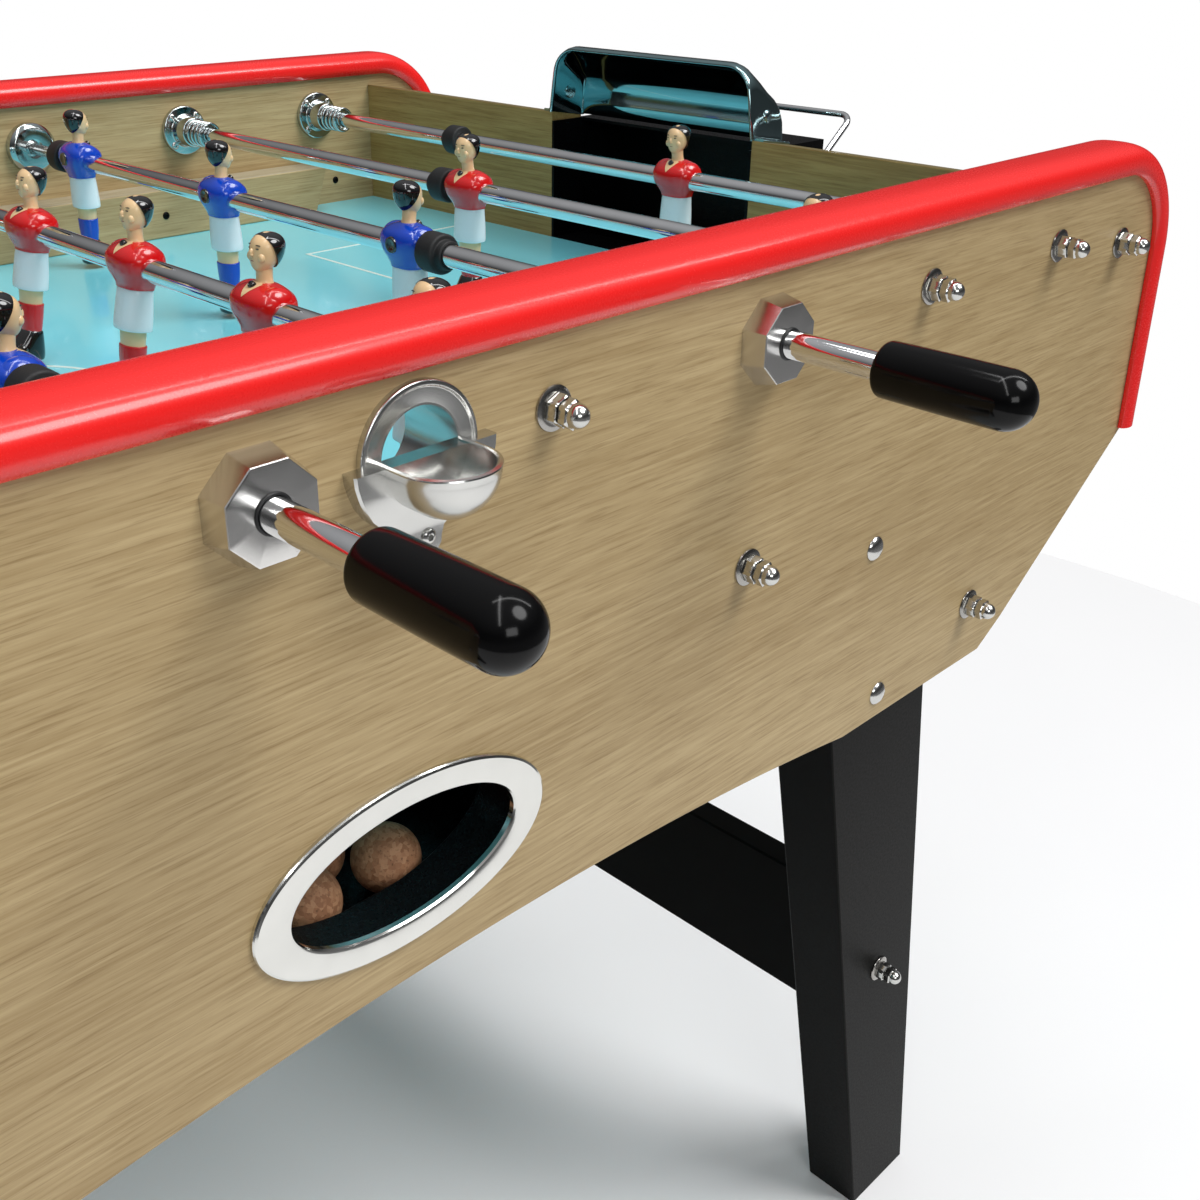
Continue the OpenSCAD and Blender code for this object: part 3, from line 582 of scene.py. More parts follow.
LEAN = radians(1.5)
CORNER_R = 66.0
CORNER_X = END_X + 14
TIP_Z = ROD_Z - 160
CUT_X, CUT_RISE, BOTTOM_X = 527, 16, 500
ARCH_HALF = 335.0
ARCH_RISE = 26.0
WINDOW_X = (window_low.x + window_high.x) / 2
WINDOW_Z = (window_low.z + window_high.z) / 2
WINDOW_A = 63.0
WINDOW_B = 30.0
COLLAR_IN = 7.0
COLLAR_OUT = 9.5
ENTRY_BORE_R = 20.5
ROD_BORE_R = 10.3
BEVEL = 0.8


def mirrored(points):
    """Points of the right half, top to bottom, then the left half, bottom to top."""
    return points + [(-x, z) for x, z in reversed(points)]


def corner_and_end(low):
    """A side board's upper right corner and leaning end, down to a height."""
    line = arc(CORNER_X, SIDE_TOP - CORNER_R, CORNER_R, pi / 2, LEAN, 28)
    x, z = line[-1]
    drop = z - low
    return line + [(x + drop * tan(LEAN), z - drop)]


def panel_loop():
    """Outline of a side board, with its cut lower corners and shallow arch."""
    right = corner_and_end(TIP_Z)
    right += [(CUT_X, SIDE_BOTTOM + CUT_RISE), (BOTTOM_X, SIDE_BOTTOM)]
    radius = (ARCH_HALF ** 2 + ARCH_RISE ** 2) / (2 * ARCH_RISE)
    centre = SIDE_BOTTOM + ARCH_RISE - radius
    steps = 24
    for k in range(steps):
        x = ARCH_HALF * (1 - k / steps)
        right.append((x, centre + sqrt(radius ** 2 - x ** 2)))
    return mirrored(right)


def side_panel(side):
    """A side board with its entry hole, ball window and the bores for the rods it bears."""
    loops = [panel_loop(), ellipse(0, ROD_Z, ENTRY_BORE_R, ENTRY_BORE_R, 64)]
    window = ellipse(0, 0, WINDOW_A + COLLAR_OUT, WINDOW_B + COLLAR_OUT)
    loops.append([(x + WINDOW_X, z + WINDOW_Z) for x, z in window])
    for i in RODS:
        if ROD_SIDE[i] == side:
            loops.append(ellipse(ROD_X[i], ROD_Z, ROD_BORE_R, ROD_BORE_R, 40))
    low, high = (INNER_Y, OUTER_Y) if side > 0 else (-OUTER_Y, -INNER_Y)
    return plate("side_panel_mesh", loops, low, high, BEVEL, M_OAK_X)


for side, label in SIDES:
    fixed("side_panel_%s_board" % label, side_panel(side), "side_panel_" + label)

TRIM_HALF = 22.0
TRIM_BULGE = 13.0
TRIM_SKIRT = 6.0
TRIM_POWER = 2.7
HALF_THICK = (OUTER_Y - INNER_Y) / 2


def edge_trim(name):
    """Bullnose strip over a side board: its section, carried along the top and both ends."""
    right = corner_and_end(TIP_Z + 2)
    half = list(reversed(right))
    path = [(x, 0, z) for x, z in half] + [(x, 0, right[0][1]) for x in (300, 0, -300)]
    path += [(-x, 0, z) for x, z in right]
    edge = acos(-(TRIM_SKIRT + 1) / TRIM_BULGE)
    cap = []
    for k in range(-22, 23):
        t = edge * k / 22
        power = TRIM_POWER if abs(t) < pi / 2 else 2.0
        out, across = superellipse(TRIM_BULGE, TRIM_HALF, t, power)
        cap.append((1 + out, across, 0))
    cap[0], cap[-1] = (*cap[0][:2], 0.8), (*cap[-1][:2], 0.8)
    lip = cap + [(-TRIM_SKIRT, HALF_THICK + 0.1, 0.8), (-0.05, HALF_THICK + 0.1, 0)]
    lip += [(-0.05, -HALF_THICK - 0.1, 0), (-TRIM_SKIRT, -HALF_THICK - 0.1, 0.8)]
    section = fillet(lip, 0.8, 3, closed=True)
    return Shape().sweep(path, section).mesh(name, [M_RED], sharp=50)


trim_mesh = edge_trim("edge_trim")
for side, label in SIDES:
    fixed("edge_trim_" + label, trim_mesh, "side_trims",
        move(0, side * (INNER_Y + HALF_THICK), 0))

MOUTH_HALF = 113.0
END_FALL = 6.0
end_outline = [(-INNER_Y, END_BOTTOM), (INNER_Y, END_BOTTOM), (INNER_Y, END_TOP),
    (MOUTH_HALF, END_TOP), (MOUTH_HALF, FIELD_Z), (-MOUTH_HALF, FIELD_Z), (-MOUTH_HALF, END_TOP),
    (-INNER_Y, END_TOP)]
return_slot = rectangle(32, ROD_Z - 160, FIELD_Z - 24)


def board_top(x):
    """Height of the end board's top edge, which falls outwards."""
    share = (abs(x) - END_X) / (END_OUT - END_X)
    return END_TOP - END_FALL * min(max(share, 0.0), 1.0)


def end_board(name, low, high):
    """End board with a falling top edge painted darker as shade, and a black sill in the goal
    mouth.
    """
    data = plate(name, [end_outline, return_slot], low, high, BEVEL, M_OAK_Y, "X")
    for v in data.vertices:
        if v.co.z > (END_TOP - 3) * MM:
            v.co.z += (board_top(v.co.x / MM) - END_TOP) * MM
    data.materials.append(M_TOP_SHADE)
    data.materials.append(M_BLACK)
    # Upward faces at the top get the darker oak as painted shade; lower upward faces, such as the
    # sill, are black
    for face in data.polygons:
        if face.normal.z > 0.5:
            face.material_index = 1 if face.center.z > (END_TOP - 12) * MM else 2
    data.update()
    return data


for side, label in reversed(ENDS):
    low, high = (END_X, END_OUT) if side > 0 else (-END_OUT, -END_X)
    fixed("end_panel_" + label, end_board("end_board_" + label, low, high),
        "end_panels")

fixed("field_board", plate("field_board", [rectangle(END_X, -INNER_Y, INNER_Y)], field_low.z,
    FIELD_Z, 0.3, M_FIELD, "Z"), "playfield")

LINE_W = 3.0
LINE_UP = 0.25
BOX_X = 384.0
BOX_Y = 208.0
HALFWAY_HALF = 349
CIRCLE_R = 90
LINE_LOW, LINE_HIGH = FIELD_Z - 0.1, FIELD_Z + LINE_UP


def strip(shape, a, b):
    """A painted line between two points on the field."""
    a, b = Vector((*a, 0)), Vector((*b, 0))
    d = (b - a).normalized()
    n = Vector((-d.y, d.x, 0)) * (LINE_W / 2)
    ring = [a - n, b - n, b + n, a + n]
    shape.rings([[tuple(p + Vector((0, 0, z))) for p in ring] for z in (LINE_LOW, LINE_HIGH)])


lines = Shape()
for s in (-1, 1):
    strip(lines, (s * BOX_X, -BOX_Y - LINE_W / 2), (s * BOX_X, BOX_Y + LINE_W / 2))
    for t in (-1, 1):
        strip(lines, (s * (BOX_X + LINE_W / 2), t * BOX_Y), (s * (END_X - 0.5), t * BOX_Y))
strip(lines, (0, -HALFWAY_HALF), (0, HALFWAY_HALF))
rim = [(CIRCLE_R + a, b) for a, b in rectangle(LINE_W / 2, LINE_LOW, LINE_HIGH)]
lines.rings([[(r * cos(TAU * k / 96), r * sin(TAU * k / 96), z) for r, z in rim]
    for k in range(96)], close_path=True)
place("field_lines", lines.mesh("field_lines", [M_LINE], flat=True), CABINET)

LEDGE_HALF = 512.0
LEDGE_FOOT = 497
ledge_z = FIELD_Z + 0.05
ledge_loop = [(-LEDGE_FOOT, ledge_z), (LEDGE_FOOT, ledge_z), (LEDGE_HALF, LEDGE_TOP),
    (-LEDGE_HALF, LEDGE_TOP)]
LEDGE_Y = 350.0
for side, label in SIDES:
    low, high = (LEDGE_Y, INNER_Y) if side > 0 else (-INNER_Y, -LEDGE_Y)
    board = plate("ledge_board_" + label, [ledge_loop], low, high, 1.2, M_OAK_X)
    board.materials.append(M_LEDGE)
    for face in board.polygons:
        if face.normal.z > 0.5:
            face.material_index = 1
    fixed("side_ledge_" + label, board, "side_ledges")


# ---- legs

LEG_THICK = 48.0
LEG_BEVEL = 1.6
leg_loop = fillet([(322, FIELD_Z - 22.1, 0), (488, FIELD_Z - 22.1, 0), (488, SIDE_BOTTOM + 14, 6),
    (486, SIDE_BOTTOM - 32, 20), (567.42, 0, 1), (490.42, 0, 1), (372, SIDE_BOTTOM - 41, 30)], 2, 5,
    closed=True)
leg_mesh = plate("leg_board", [leg_loop], -INNER_Y, -INNER_Y + LEG_THICK, LEG_BEVEL, M_LEG)
cross_loop = rectangle(INNER_Y - LEG_THICK, board_low.z, board_high.z)
CROSS_IN = 466
CROSS_X = board_high.x - (board_high.x - CROSS_IN) / 2
CROSS_HALF = 12
cross_mesh = plate("cross_board", [cross_loop], CROSS_X - CROSS_HALF, CROSS_X + CROSS_HALF,
    LEG_BEVEL, M_LEG, "X")


def mirrored_mesh(data, sx, sy):
    """A copy of a mesh, mirrored in X or Y where the sign is negative."""
    out = data.copy()
    out.transform(Matrix.Diagonal((sx, sy, 1, 1)))
    if sx * sy < 0:
        out.flip_normals()
    return out


for side, near_far in SIDES:
    for end, label in ENDS:
        fixed("leg_%s_%s" % (near_far, label), mirrored_mesh(leg_mesh, end, -side),
            "legs")
for end, label in ENDS:
    fixed("cross_board_" + label, mirrored_mesh(cross_mesh, end, 1), "leg_stretchers")


# ---- fasteners

def acorn_fixing():
    """Washer, hex nut, a little thread and an acorn nut, standing out along -Y."""
    s = Shape()
    s.lathe([(4.2, 0), (9.9, 0), (10.5, -0.5), (10.3, -1.1), (9.0, -1.8), (7.8, -2.0), (4.2, -2.0)],
        1, loop=True)
    s.prism_lathe([(4.2, -2, 1), (6.1, -2, 0), (6.5, -2.5, 0), (6.5, -7.5, 0), (6.2, -8.0, 0.35),
        (5.4, -8.0, 1), (4.2, -7.6, 1)], 6, n=48, loop=True)
    s.lathe([(0, -7), (4.0, -7), (3.7, -7.5), (4.0, -8.0), (3.7, -8.4), (4.0, -8.8), (0, -8.9)])
    dome = [(5.6 * cos(t), -14.7 - 5.6 * sin(t), 1) for t in [pi / 2 * k / 8 for k in range(1, 8)]]
    s.prism_lathe([(0.01, -8.5, 1), (4.6, -8.5, 1), (5.8, -8.7, 0.4), (6.05, -9.2, 0),
        (6.05, -12.9, 0), (5.7, -13.4, 0.5), (5.6, -13.7, 1),
        (5.6, -14.7, 1)] + dome + [(0.01, -20.3, 1)], 6, n=48)
    return s.mesh("acorn_fixing", [M_NICKEL, M_WASHER], sharp=35)


fixing_mesh = acorn_fixing()
SPOTS = [(221, -124), (616, -12), (475, -237)]
FIXING_NODES = ["panel_washers", "hex_nuts", "acorn_nuts"]
CROSS_BOLT_X, CROSS_BOLT_Z = 477, ROD_Z - 578
spots = []
for side, _ in SIDES:
    row = [(s * x, ROD_Z + z) for x, z in SPOTS for s in (-1, 1)]
    row += [(ROD_X[i], ROD_Z) for i in RODS if ROD_SIDE[i] != side]
    for k, (x, z) in enumerate(row):
        spots.append(move(x, side * OUTER_Y, z, facing(side)) @ spin(17 * k + 8, "Y"))
    spots += [move(s * CROSS_BOLT_X, side * INNER_Y, CROSS_BOLT_Z, facing(side)) for s in (-1, 1)]
for k, spot in enumerate(spots):
    place("acorn_fixing_%02d" % k, fixing_mesh, CABINET, spot, FIXING_NODES)

dome_profile = [(0, -3.6), (2.5, -3.45), (4.8, -2.9), (6.6, -1.9), (7.7, -0.8), (8.0, -0.2),
    (7.9, 0.3), (0, 0.3)]
carriage_mesh = Shape().lathe(dome_profile, n=40).mesh("carriage_head", [M_NICKEL], sharp=50)
nut_profile = [(0.01, 0, 1), (6.1, 0, 0.3), (6.5, 0.5, 0), (6.5, 6.0, 0), (6.1, 6.5, 0.3),
    (4.2, 6.5, 1), (4.0, 6.6, 1), (4.0, 9, 1), (3.4, 9.6, 1), (0.01, 9.6, 1)]
inside_nut = Shape().prism_lathe(nut_profile, 6, n=48).mesh("inside_nut", [M_NICKEL], sharp=35)
LEG_BOLTS = ((347, -154), (370, -264))
bolts = [(side, s * x, ROD_Z + z) for side, _ in SIDES for s in (-1, 1) for x, z in LEG_BOLTS]
for k, (side, x, z) in enumerate(bolts):
    for name, data, y in (("bolt", carriage_mesh, OUTER_Y),
            ("nut", inside_nut, INNER_Y - LEG_THICK)):
        fixed("carriage_%s_%d" % (name, k), data, "carriage_bolts",
            move(x, side * y, z, facing(side)))

repaint("tie_bolts", M_STEEL)

screw_profile = [(0.01, -0.1, 1), (1.0, -0.1, 0), (1.15, -1.15, 0), (1.6, -1.35, 1), (2.6, -1.1, 1),
    (3.3, -0.5, 1), (3.5, 0, 1), (3.4, 0.4, 1), (0.01, 0.4, 1)]
screw_shape = Shape().prism_lathe(screw_profile, 6, n=36)
screw_mesh = screw_shape.mesh("screw_head", [M_BLACK, M_NICKEL], sharp=40)
bright_screw = screw_mesh.copy()
bright_screw.materials[0] = M_NICKEL
LEDGE_SCREWS = (-330, 0, 330)
CORNER_SCREW_X, CORNER_SCREW_Y = 545, 318
spots = []
for side, _ in SIDES:
    inwards = facing(-side)
    spots += [move(x, side * LEDGE_Y, FIELD_Z + 20, inwards) for x in LEDGE_SCREWS]
    for s in (-1, 1):
        spots.append(move(s * CORNER_SCREW_X, side * INNER_Y, ROD_Z - 66, inwards))
        spots.append(move(s * END_X, side * CORNER_SCREW_Y, ROD_Z - 68, -90 if s > 0 else 90))
for k, spot in enumerate(spots):
    fixed("dark_screw_%02d" % k, screw_mesh, "fixing_screws", spot)


# ---- ball entry cups

CUP_R = 19.4
CUP_WALL = 2.2
CUP_DEEP = 18.0


def entry_cup():
    """Cast cup: collar round the hole, shield-shaped back, bowl, sleeve through the panel."""
    s = Shape()
    flange = fillet([(19.6, 0.4, 0), (29.6, 0.4, 0), (29.6, -3.2, 1.0), (27.6, -3.6, 0.5),
        (26.6, -2.6, 0.5), (19.6, -2.6, 0.8)], 0.5, 3, closed=True)
    loops = []
    for k in range(49):
        t = radians(-4 + 188 * k / 48)
        loops.append([(r * cos(t), y, r * sin(t)) for r, y in flange])
    s.rings(loops)
    rows = []
    outline = [(36.0, 0.6), (35.6, -4), (34.2, -9), (31.8, -15), (28, -20.5), (22.5, -25.5),
        (16, -29.5), (11.5, -33), (10, -37), (9.6, -40.5), (7.6, -43), (3.5, -44)]
    for w, z in outline:
        depth = 8.0 if z > -14 else max(3.0, 8.0 + (z + 14) * 5.0 / 16)
        rows.append([(-w, 0.3, z), (-w, -depth + 1.0, z), (-w + 1.0, -depth, z),
            (-w * 0.5, -depth - 0.1, z), (w * 0.5, -depth - 0.1, z), (w - 1.0, -depth, z),
            (w, -depth + 1.0, z), (w, 0.3, z)])
    s.rings(rows)

    def bowl_ring(r, t, lift=0.0):
        """One level of the bowl: straight sides and a half circle at the front."""
        wide, z = r * cos(t), -r * sin(t) + lift
        points = [(-wide, y, z) for y in (-2.5, -10.0)]
        for k in range(33):
            a = pi + pi * k / 32
            points.append((wide * cos(a), -CUP_DEEP + wide * sin(a), z))
        return points + [(wide, y, z) for y in (-10.0, -2.5)]

    outer, inner = CUP_R + CUP_WALL, CUP_R
    rings = [bowl_ring(outer, pi / 2 * k / 14) for k in range(14, -1, -1)]
    rings += [bowl_ring(outer + 0.5, 0, 0.7), bowl_ring(outer + 0.3, 0, 1.3),
        bowl_ring((outer + inner) / 2, 0, 1.7), bowl_ring(inner + 0.1, 0, 1.2)]
    rings += [bowl_ring(inner, pi / 2 * k / 14) for k in range(15)]
    s.rings(rings, close_ring=False)
    s.lathe([(CUP_R, -2.6), (20.3, -2.6), (20.3, 31), (CUP_R, 31)], loop=True)
    return s


cup_mesh = entry_cup().mesh("entry_cup", [M_CAST], sharp=38)
clean(cup_mesh, 2e-6)
for side, label in SIDES:
    fixed("entry_cup_" + label, cup_mesh, "entry_cups",
        move(0, side * OUTER_Y, ROD_Z, facing(side)))
    fixed("entry_cup_screw_" + label, bright_screw, "fixing_screws",
        move(-side * 2, side * (OUTER_Y + 3.4), ROD_Z - 36, facing(side)))


# ---- ball windows, troughs and balls

def window_ring():
    """Flat oval ring with rounded edges, outer edge first."""
    outer_a, outer_b = WINDOW_A + 19, WINDOW_B + 13.5
    loops = []
    for grow, y in ((0, 0.2), (0, -1.6), (-0.5, -2.4), (-1.6, -3.0)):
        loops.append([(a, y, b) for a, b in ellipse(0, 0, outer_a + grow, outer_b + grow, 128)])
    for grow, y in ((2.0, -3.0), (0.7, -2.5), (0, -1.6), (0, 1.0), (2.4, 1.0), (2.4, 0.2)):
        loops.append([(a, y, b) for a, b in ellipse(0, 0, WINDOW_A + grow, WINDOW_B + grow, 128)])
    return Shape().rings(loops, close_path=True).mesh("window_ring", [M_PLATE], sharp=25)


ring_mesh = window_ring()
for side, label in SIDES:
    fixed("window_ring_" + label, ring_mesh, "window_rings",
        move(WINDOW_X, side * OUTER_Y, WINDOW_Z, facing(side)))


TROUGH_X = (trough_low.x + trough_high.x) / 2


def tray():
    """Black trough with a low front lip, and an oval collar that lines the window hole."""
    s = Shape()
    half = (trough_high.x - trough_low.x) / 2
    wide = 84.0
    floor = trough_low.z + 3 - ROD_Z
    section = fillet([(0.5, floor + 17, 0), (0.5, floor - 3, 5), (wide, floor - 3, 5),
        (wide, floor + 37, 0), (wide - 3, floor + 37, 0), (wide - 3, floor, 14), (14, floor, 10),
        (6, floor + 12, 5), (4, floor + 17, 1.5)], 2, 5, closed=True)
    s.rings([[(x, y, z) for y, z in section] for x in (-half, -half + 1.0, half - 1.0, half)])
    for x in (-half, half - 3):
        wall = fillet([(1, floor - 2), (wide - 1, floor - 2), (wide - 1, floor + 36),
            (1, floor + 36)], 5, 4, closed=True)
        s.rings([[(x, y, z) for y, z in wall], [(x + 3, y, z) for y, z in wall]])
    thick = OUTER_Y - INNER_Y
    lift = WINDOW_Z - ROD_Z
    collar = []
    for grow, y in ((COLLAR_IN, 0.3), (COLLAR_IN, thick - 1.0), (COLLAR_IN + 0.8, thick - 0.2),
            (COLLAR_OUT, thick - 0.2), (COLLAR_OUT, 0.3)):
        edge = ellipse(0, 0, WINDOW_A + grow, WINDOW_B + grow, 128)
        collar.append([(a + WINDOW_X - TROUGH_X, y - thick, b + lift) for a, b in edge])
    s.rings(collar, close_path=True)
    return s.mesh("ball_tray", [M_BLACK], sharp=30)


tray_mesh = tray()
for side, label in SIDES:
    fixed("ball_tray_" + label, tray_mesh, "ball_troughs",
        move(TROUGH_X, side * INNER_Y, ROD_Z, facing(side)))

BALL_R = 17.5
ball_shape = Shape().ball((0, 0, 0), (BALL_R, BALL_R, BALL_R), rings=32, n=48)
ball_mesh = ball_shape.mesh("cork_ball", [M_CORK])
BALL_Z = box_mm("balls")[0].z + BALL_R
for k, (x, y, tilt) in enumerate(((12, -361, 20), (-36, -361, 130), (-13, -332, 250))):
    fixed("cork_ball_%d" % k, ball_mesh, "balls",
        move(x, y, BALL_Z) @ spin(tilt, (0.3, 1, 0.5)))

repaint("return_ramps", M_PLY)
repaint("goal_boxes", M_BLACK)


# ---- goal hoods and score bars

HOOD_THICK = 1.8
HOOD_HALF = 113.5
HOOD_NARROWING = 8.0
HOOD_PROFILE = [(END_X - 2, HOOD_TOP - 2.4), (END_X + 1, HOOD_TOP - 0.6), (END_X + 5, HOOD_TOP),
    (END_X + 9, HOOD_TOP - 1.6), (END_X + 18, HOOD_TOP - 10), (END_X + 27, HOOD_TOP - 20),
    (END_OUT - 4, END_TOP + 30), (END_OUT - 1, END_TOP + 25), (END_OUT + 0.8, END_TOP + 17)]


def hood():
    """Bent scoop open to the field: rounded shoulders, falling roof, feet and side rivets."""
    rings = []
    for x, top in HOOD_PROFILE:
        share = (top - END_TOP) / (HOOD_TOP - END_TOP)
        base_w, top_w, base = HOOD_HALF, HOOD_HALF - HOOD_NARROWING * share, board_top(x)
        r = 24.0 * max(0.35, share)
        line = [(-base_w, base, 0), (-base_w, base + 0.5, 0), (-top_w, top, r), (top_w, top, r),
            (base_w, base + 0.5, 0), (base_w, base, 0)]
        rings.append([(x, y, z) for y, z in fillet(line, 0, 8)])
    back = rings[-1]
    low = board_top(END_OUT)
    rings.append([(END_OUT + 1.2, y, low + (z - low) * 0.55) for x, y, z in back])
    rings.append([(END_OUT + 1.2, y * 0.99, low + (z - low) * 0.05) for x, y, z in back])
    shell = Shape().rings(rings, close_ring=False).mesh("hood_shell", [M_HOOD], sharp=60)
    temp = scene_object("hood_shell", shell)
    solid = temp.modifiers.new("sheet", "SOLIDIFY")
    solid.thickness = HOOD_THICK * MM
    solid.offset = 0
    out = baked(temp)
    extra = Shape()
    for side in (-1, 1):
        foot = fillet([(113, END_TOP + 0.1), (124, END_TOP + 0.1, 0.8), (124, END_TOP + 2.2, 0.8),
            (114.5, END_TOP + 2.2, 1.2), (114.2, END_TOP + 5)], 0.3, 3)
        extra.rings([[(x, side * a, b - END_TOP + board_top(x)) for a, b in foot]
            for x in (END_X + 1, END_X + 36)])
        rivet = [(0, -3.4), (2.4, -3.2), (4.4, -2.4), (5.6, -1.2), (6.0, 0), (6.0, 1.5), (0, 1.5)]
        at = Matrix.Translation((END_X + 20, side * 110.5, END_TOP + 16))
        extra.lathe(rivet, n=32, matrix=at @ spin(facing(side), "Z"))
    return joined("goal_hood", [out, extra.mesh("hood_extra", [M_HOOD], sharp=40)])


hood_mesh = hood()
for end, label in ENDS:
    fixed("goal_hood_" + label, hood_mesh, "goal_hoods", move(turn=facing(-end)))

BAR_R = 2.5
BAR_HALF = (bar_high.y - bar_low.y) / 2 - BAR_R
BAR_X = bar_high.x - BAR_R
BAR_Z = bar_high.z - BAR_R
BAR_BEND = 11
BAR_FOOT_Z = ROD_Z + 14
tilt = atan2(BAR_Z - BAR_FOOT_Z, BAR_X - END_OUT)
length = hypot(BAR_Z - BAR_FOOT_Z, BAR_X - END_OUT)
flat_path = fillet([(-length - 2, -BAR_HALF), (0, -BAR_HALF), (0, BAR_HALF),
    (-length - 2, BAR_HALF)], BAR_BEND, 10)
bar_path = [(BAR_X + u * cos(tilt), y, BAR_Z + u * sin(tilt)) for u, y in flat_path]
bar_mesh = Shape().tube(bar_path, BAR_R, n=20).mesh("score_bar", [M_CHROME], sharp=60)
for end, label in ENDS:
    fixed("score_bar_" + label, bar_mesh, "score_bars", move(turn=facing(-end)))


# ---- rods

BLOCK_OUT = -OUTER_Y - 13
FLANGE_IN = -INNER_Y + 22
TUBE_R = 7.0
rod_mesh = Shape().lathe([(0, -330), (3.8, -330), (4.5, -329.2), (4.5, OUTER_Y + 8),
    (0, OUTER_Y + 8)], n=32).mesh("inner_rod", [M_STEEL], sharp=40)
disc_mesh = hollow_part("end_disc", M_FITTING, [(4.6, INNER_Y), (21, INNER_Y),
    (21, INNER_Y - 7, 1.2), (17.5, INNER_Y - 10, 1.5), (8, INNER_Y - 10, 0.8), (4.6, INNER_Y - 9)],
    0.4, 3, 72)
block_profile = [(8.3, -OUTER_Y, 1), (21.7, -OUTER_Y, 0), (21.6, -OUTER_Y - 0.8, 0),
    (19.2, -OUTER_Y - 12.4, 0), (18.9, -OUTER_Y - 12.9, 0), (18.4, BLOCK_OUT, 0),
    (8.3, BLOCK_OUT, 1)]
block_shape = Shape().prism_lathe(block_profile, 8, n=96, loop=True)
block_mesh = block_shape.mesh("bearing_block", [M_BLOCK], sharp=12)
bush_mesh = hollow_part("bearing_bush", M_NYLON, [(7.15, FLANGE_IN), (10.2, FLANGE_IN),
    (10.2, -OUTER_Y, 0), (8.2, -OUTER_Y, 0), (8.2, -OUTER_Y - 13.8), (7.15, -OUTER_Y - 13.8, 0.3)],
    0.5, 3, 64)
flange_mesh = hollow_part("bearing_flange", M_FITTING,
    [(10.3, -INNER_Y), (22, -INNER_Y), (22, -INNER_Y + 5, 1.5), (14, -INNER_Y + 5.2, 1.5),
    (13, FLANGE_IN, 1.2), (10.3, FLANGE_IN, 0.5)], 0.5, 4, 72)

SPRING_TURNS = 5
SPRING_R = 10.4
WIRE_R = 1.3
SPRING_LENGTH = 26.0


def spring_mesh():
    """Coil spring with closed ends, standing on the bearing flange."""
    path = []
    steps = SPRING_TURNS * 32
    for k in range(steps + 1):
        t = k / 32
        rise = min(max((t - 0.75) / (SPRING_TURNS - 1.5), 0), 1)
        flat = 2.1 * WIRE_R * 0.75
        y = FLANGE_IN + WIRE_R + flat * min(t, 0.75) / 0.75 * 0.6
        y += rise * (SPRING_LENGTH - 2 * WIRE_R - 2.4)
        y += flat * max(0, t - SPRING_TURNS + 0.75) / 0.75 * 0.3
        path.append((SPRING_R * cos(TAU * t), y, SPRING_R * sin(TAU * t)))
    return Shape().tube(path, WIRE_R, n=14).mesh("rod_spring", [M_FITTING], sharp=70)


coil_mesh = spring_mesh()
ROD_FITTINGS = (("inner_rod", rod_mesh, "steel", "fixed_rods"),
    ("end_disc", disc_mesh, "chrome_plate", "end_discs"),
    ("bearing_block", block_mesh, "chrome_plate", "bearing_blocks"),
    ("bearing_bush", bush_mesh, "black_plastic", "bearing_bushes"),
    ("bearing_flange", flange_mesh, "chrome_plate", "bearing_flanges"))
FLANGE_SCREW_R = 17.5
SPRUNG_RODS = (1, 2, 7, 8)
for i in RODS:
    at = move(ROD_X[i], 0, ROD_Z, facing(ROD_SIDE[i]))
    for name, data, slot, node in ROD_FITTINGS:
        fixed("%s_%d" % (name, i), data, node, at)
    for k in range(4):
        a = radians(45 + 90 * k)
        spot = at @ move(FLANGE_SCREW_R * cos(a), -INNER_Y + 5, FLANGE_SCREW_R * sin(a), 180)
        fixed("flange_screw_%d_%d" % (i, k), bright_screw, "fixing_screws", spot)
    if i in SPRUNG_RODS:
        fixed("rod_spring_%d" % i, coil_mesh, "rod_springs", at)


# ---- figures

def smooth_keys(keys):
    """Catmull-Rom curve through rows of numbers, with four steps from one row to the next."""
    between = 4
    out = []
    for i in range(len(keys) - 1):
        p0, p1, p2, p3 = keys[max(i - 1, 0)], keys[i], keys[i + 1], keys[min(i + 2, len(keys) - 1)]
        for k in range(between):
            t = k / between
            out.append(tuple(0.5 * (2 * b + (c - a) * t + (2 * a - 5 * b + 4 * c - d) * t * t
                + (3 * b - a - 3 * c + d) * t ** 3) for a, b, c, d in zip(p0, p1, p2, p3)))
    out.append(tuple(keys[-1]))
    return out


def body_part(shape, keys, mat, n=32, power=2.0):
    """Stacks rounded sections: (z, x of the middle, half depth, half width)."""
    rings = []
    for z, cx, rx, ry in smooth_keys(keys):
        section = [superellipse(rx, ry, TAU * k / n, power) for k in range(n)]
        rings.append([(cx + x, y, z) for x, y in section])
    shape.rings(rings, mat)


TORSO = [(-12.8, 0, 9.2, 12.2), (-10.5, 0, 9.7, 12.9), (-7, 0.3, 11.4, 15.0), (-3, 0.6, 13.4, 17.5),
    (2, 0.6, 14.6, 18.9), (6, 0.5, 14.2, 18.9), (9.5, 0.1, 12.2, 17.2), (12.2, -0.3, 9.0, 13.0),
    (14.0, -0.4, 6.0, 8.2), (14.6, -0.4, 4.4, 5.4)]
TORSO_POWER = 2.8


def torso_front(y, z):
    """Depth of the jersey's front at a height and a distance across."""
    rows = smooth_keys(TORSO)
    for a, b in zip(rows, rows[1:]):
        if a[0] <= z <= b[0]:
            t = (z - a[0]) / (b[0] - a[0])
            cx, rx, ry = (u + (v - u) * t for u, v in zip(a[1:], b[1:]))
            return cx + rx * (1 - min(abs(y) / ry, 1) ** TORSO_POWER) ** (1 / TORSO_POWER)
    return 0.0


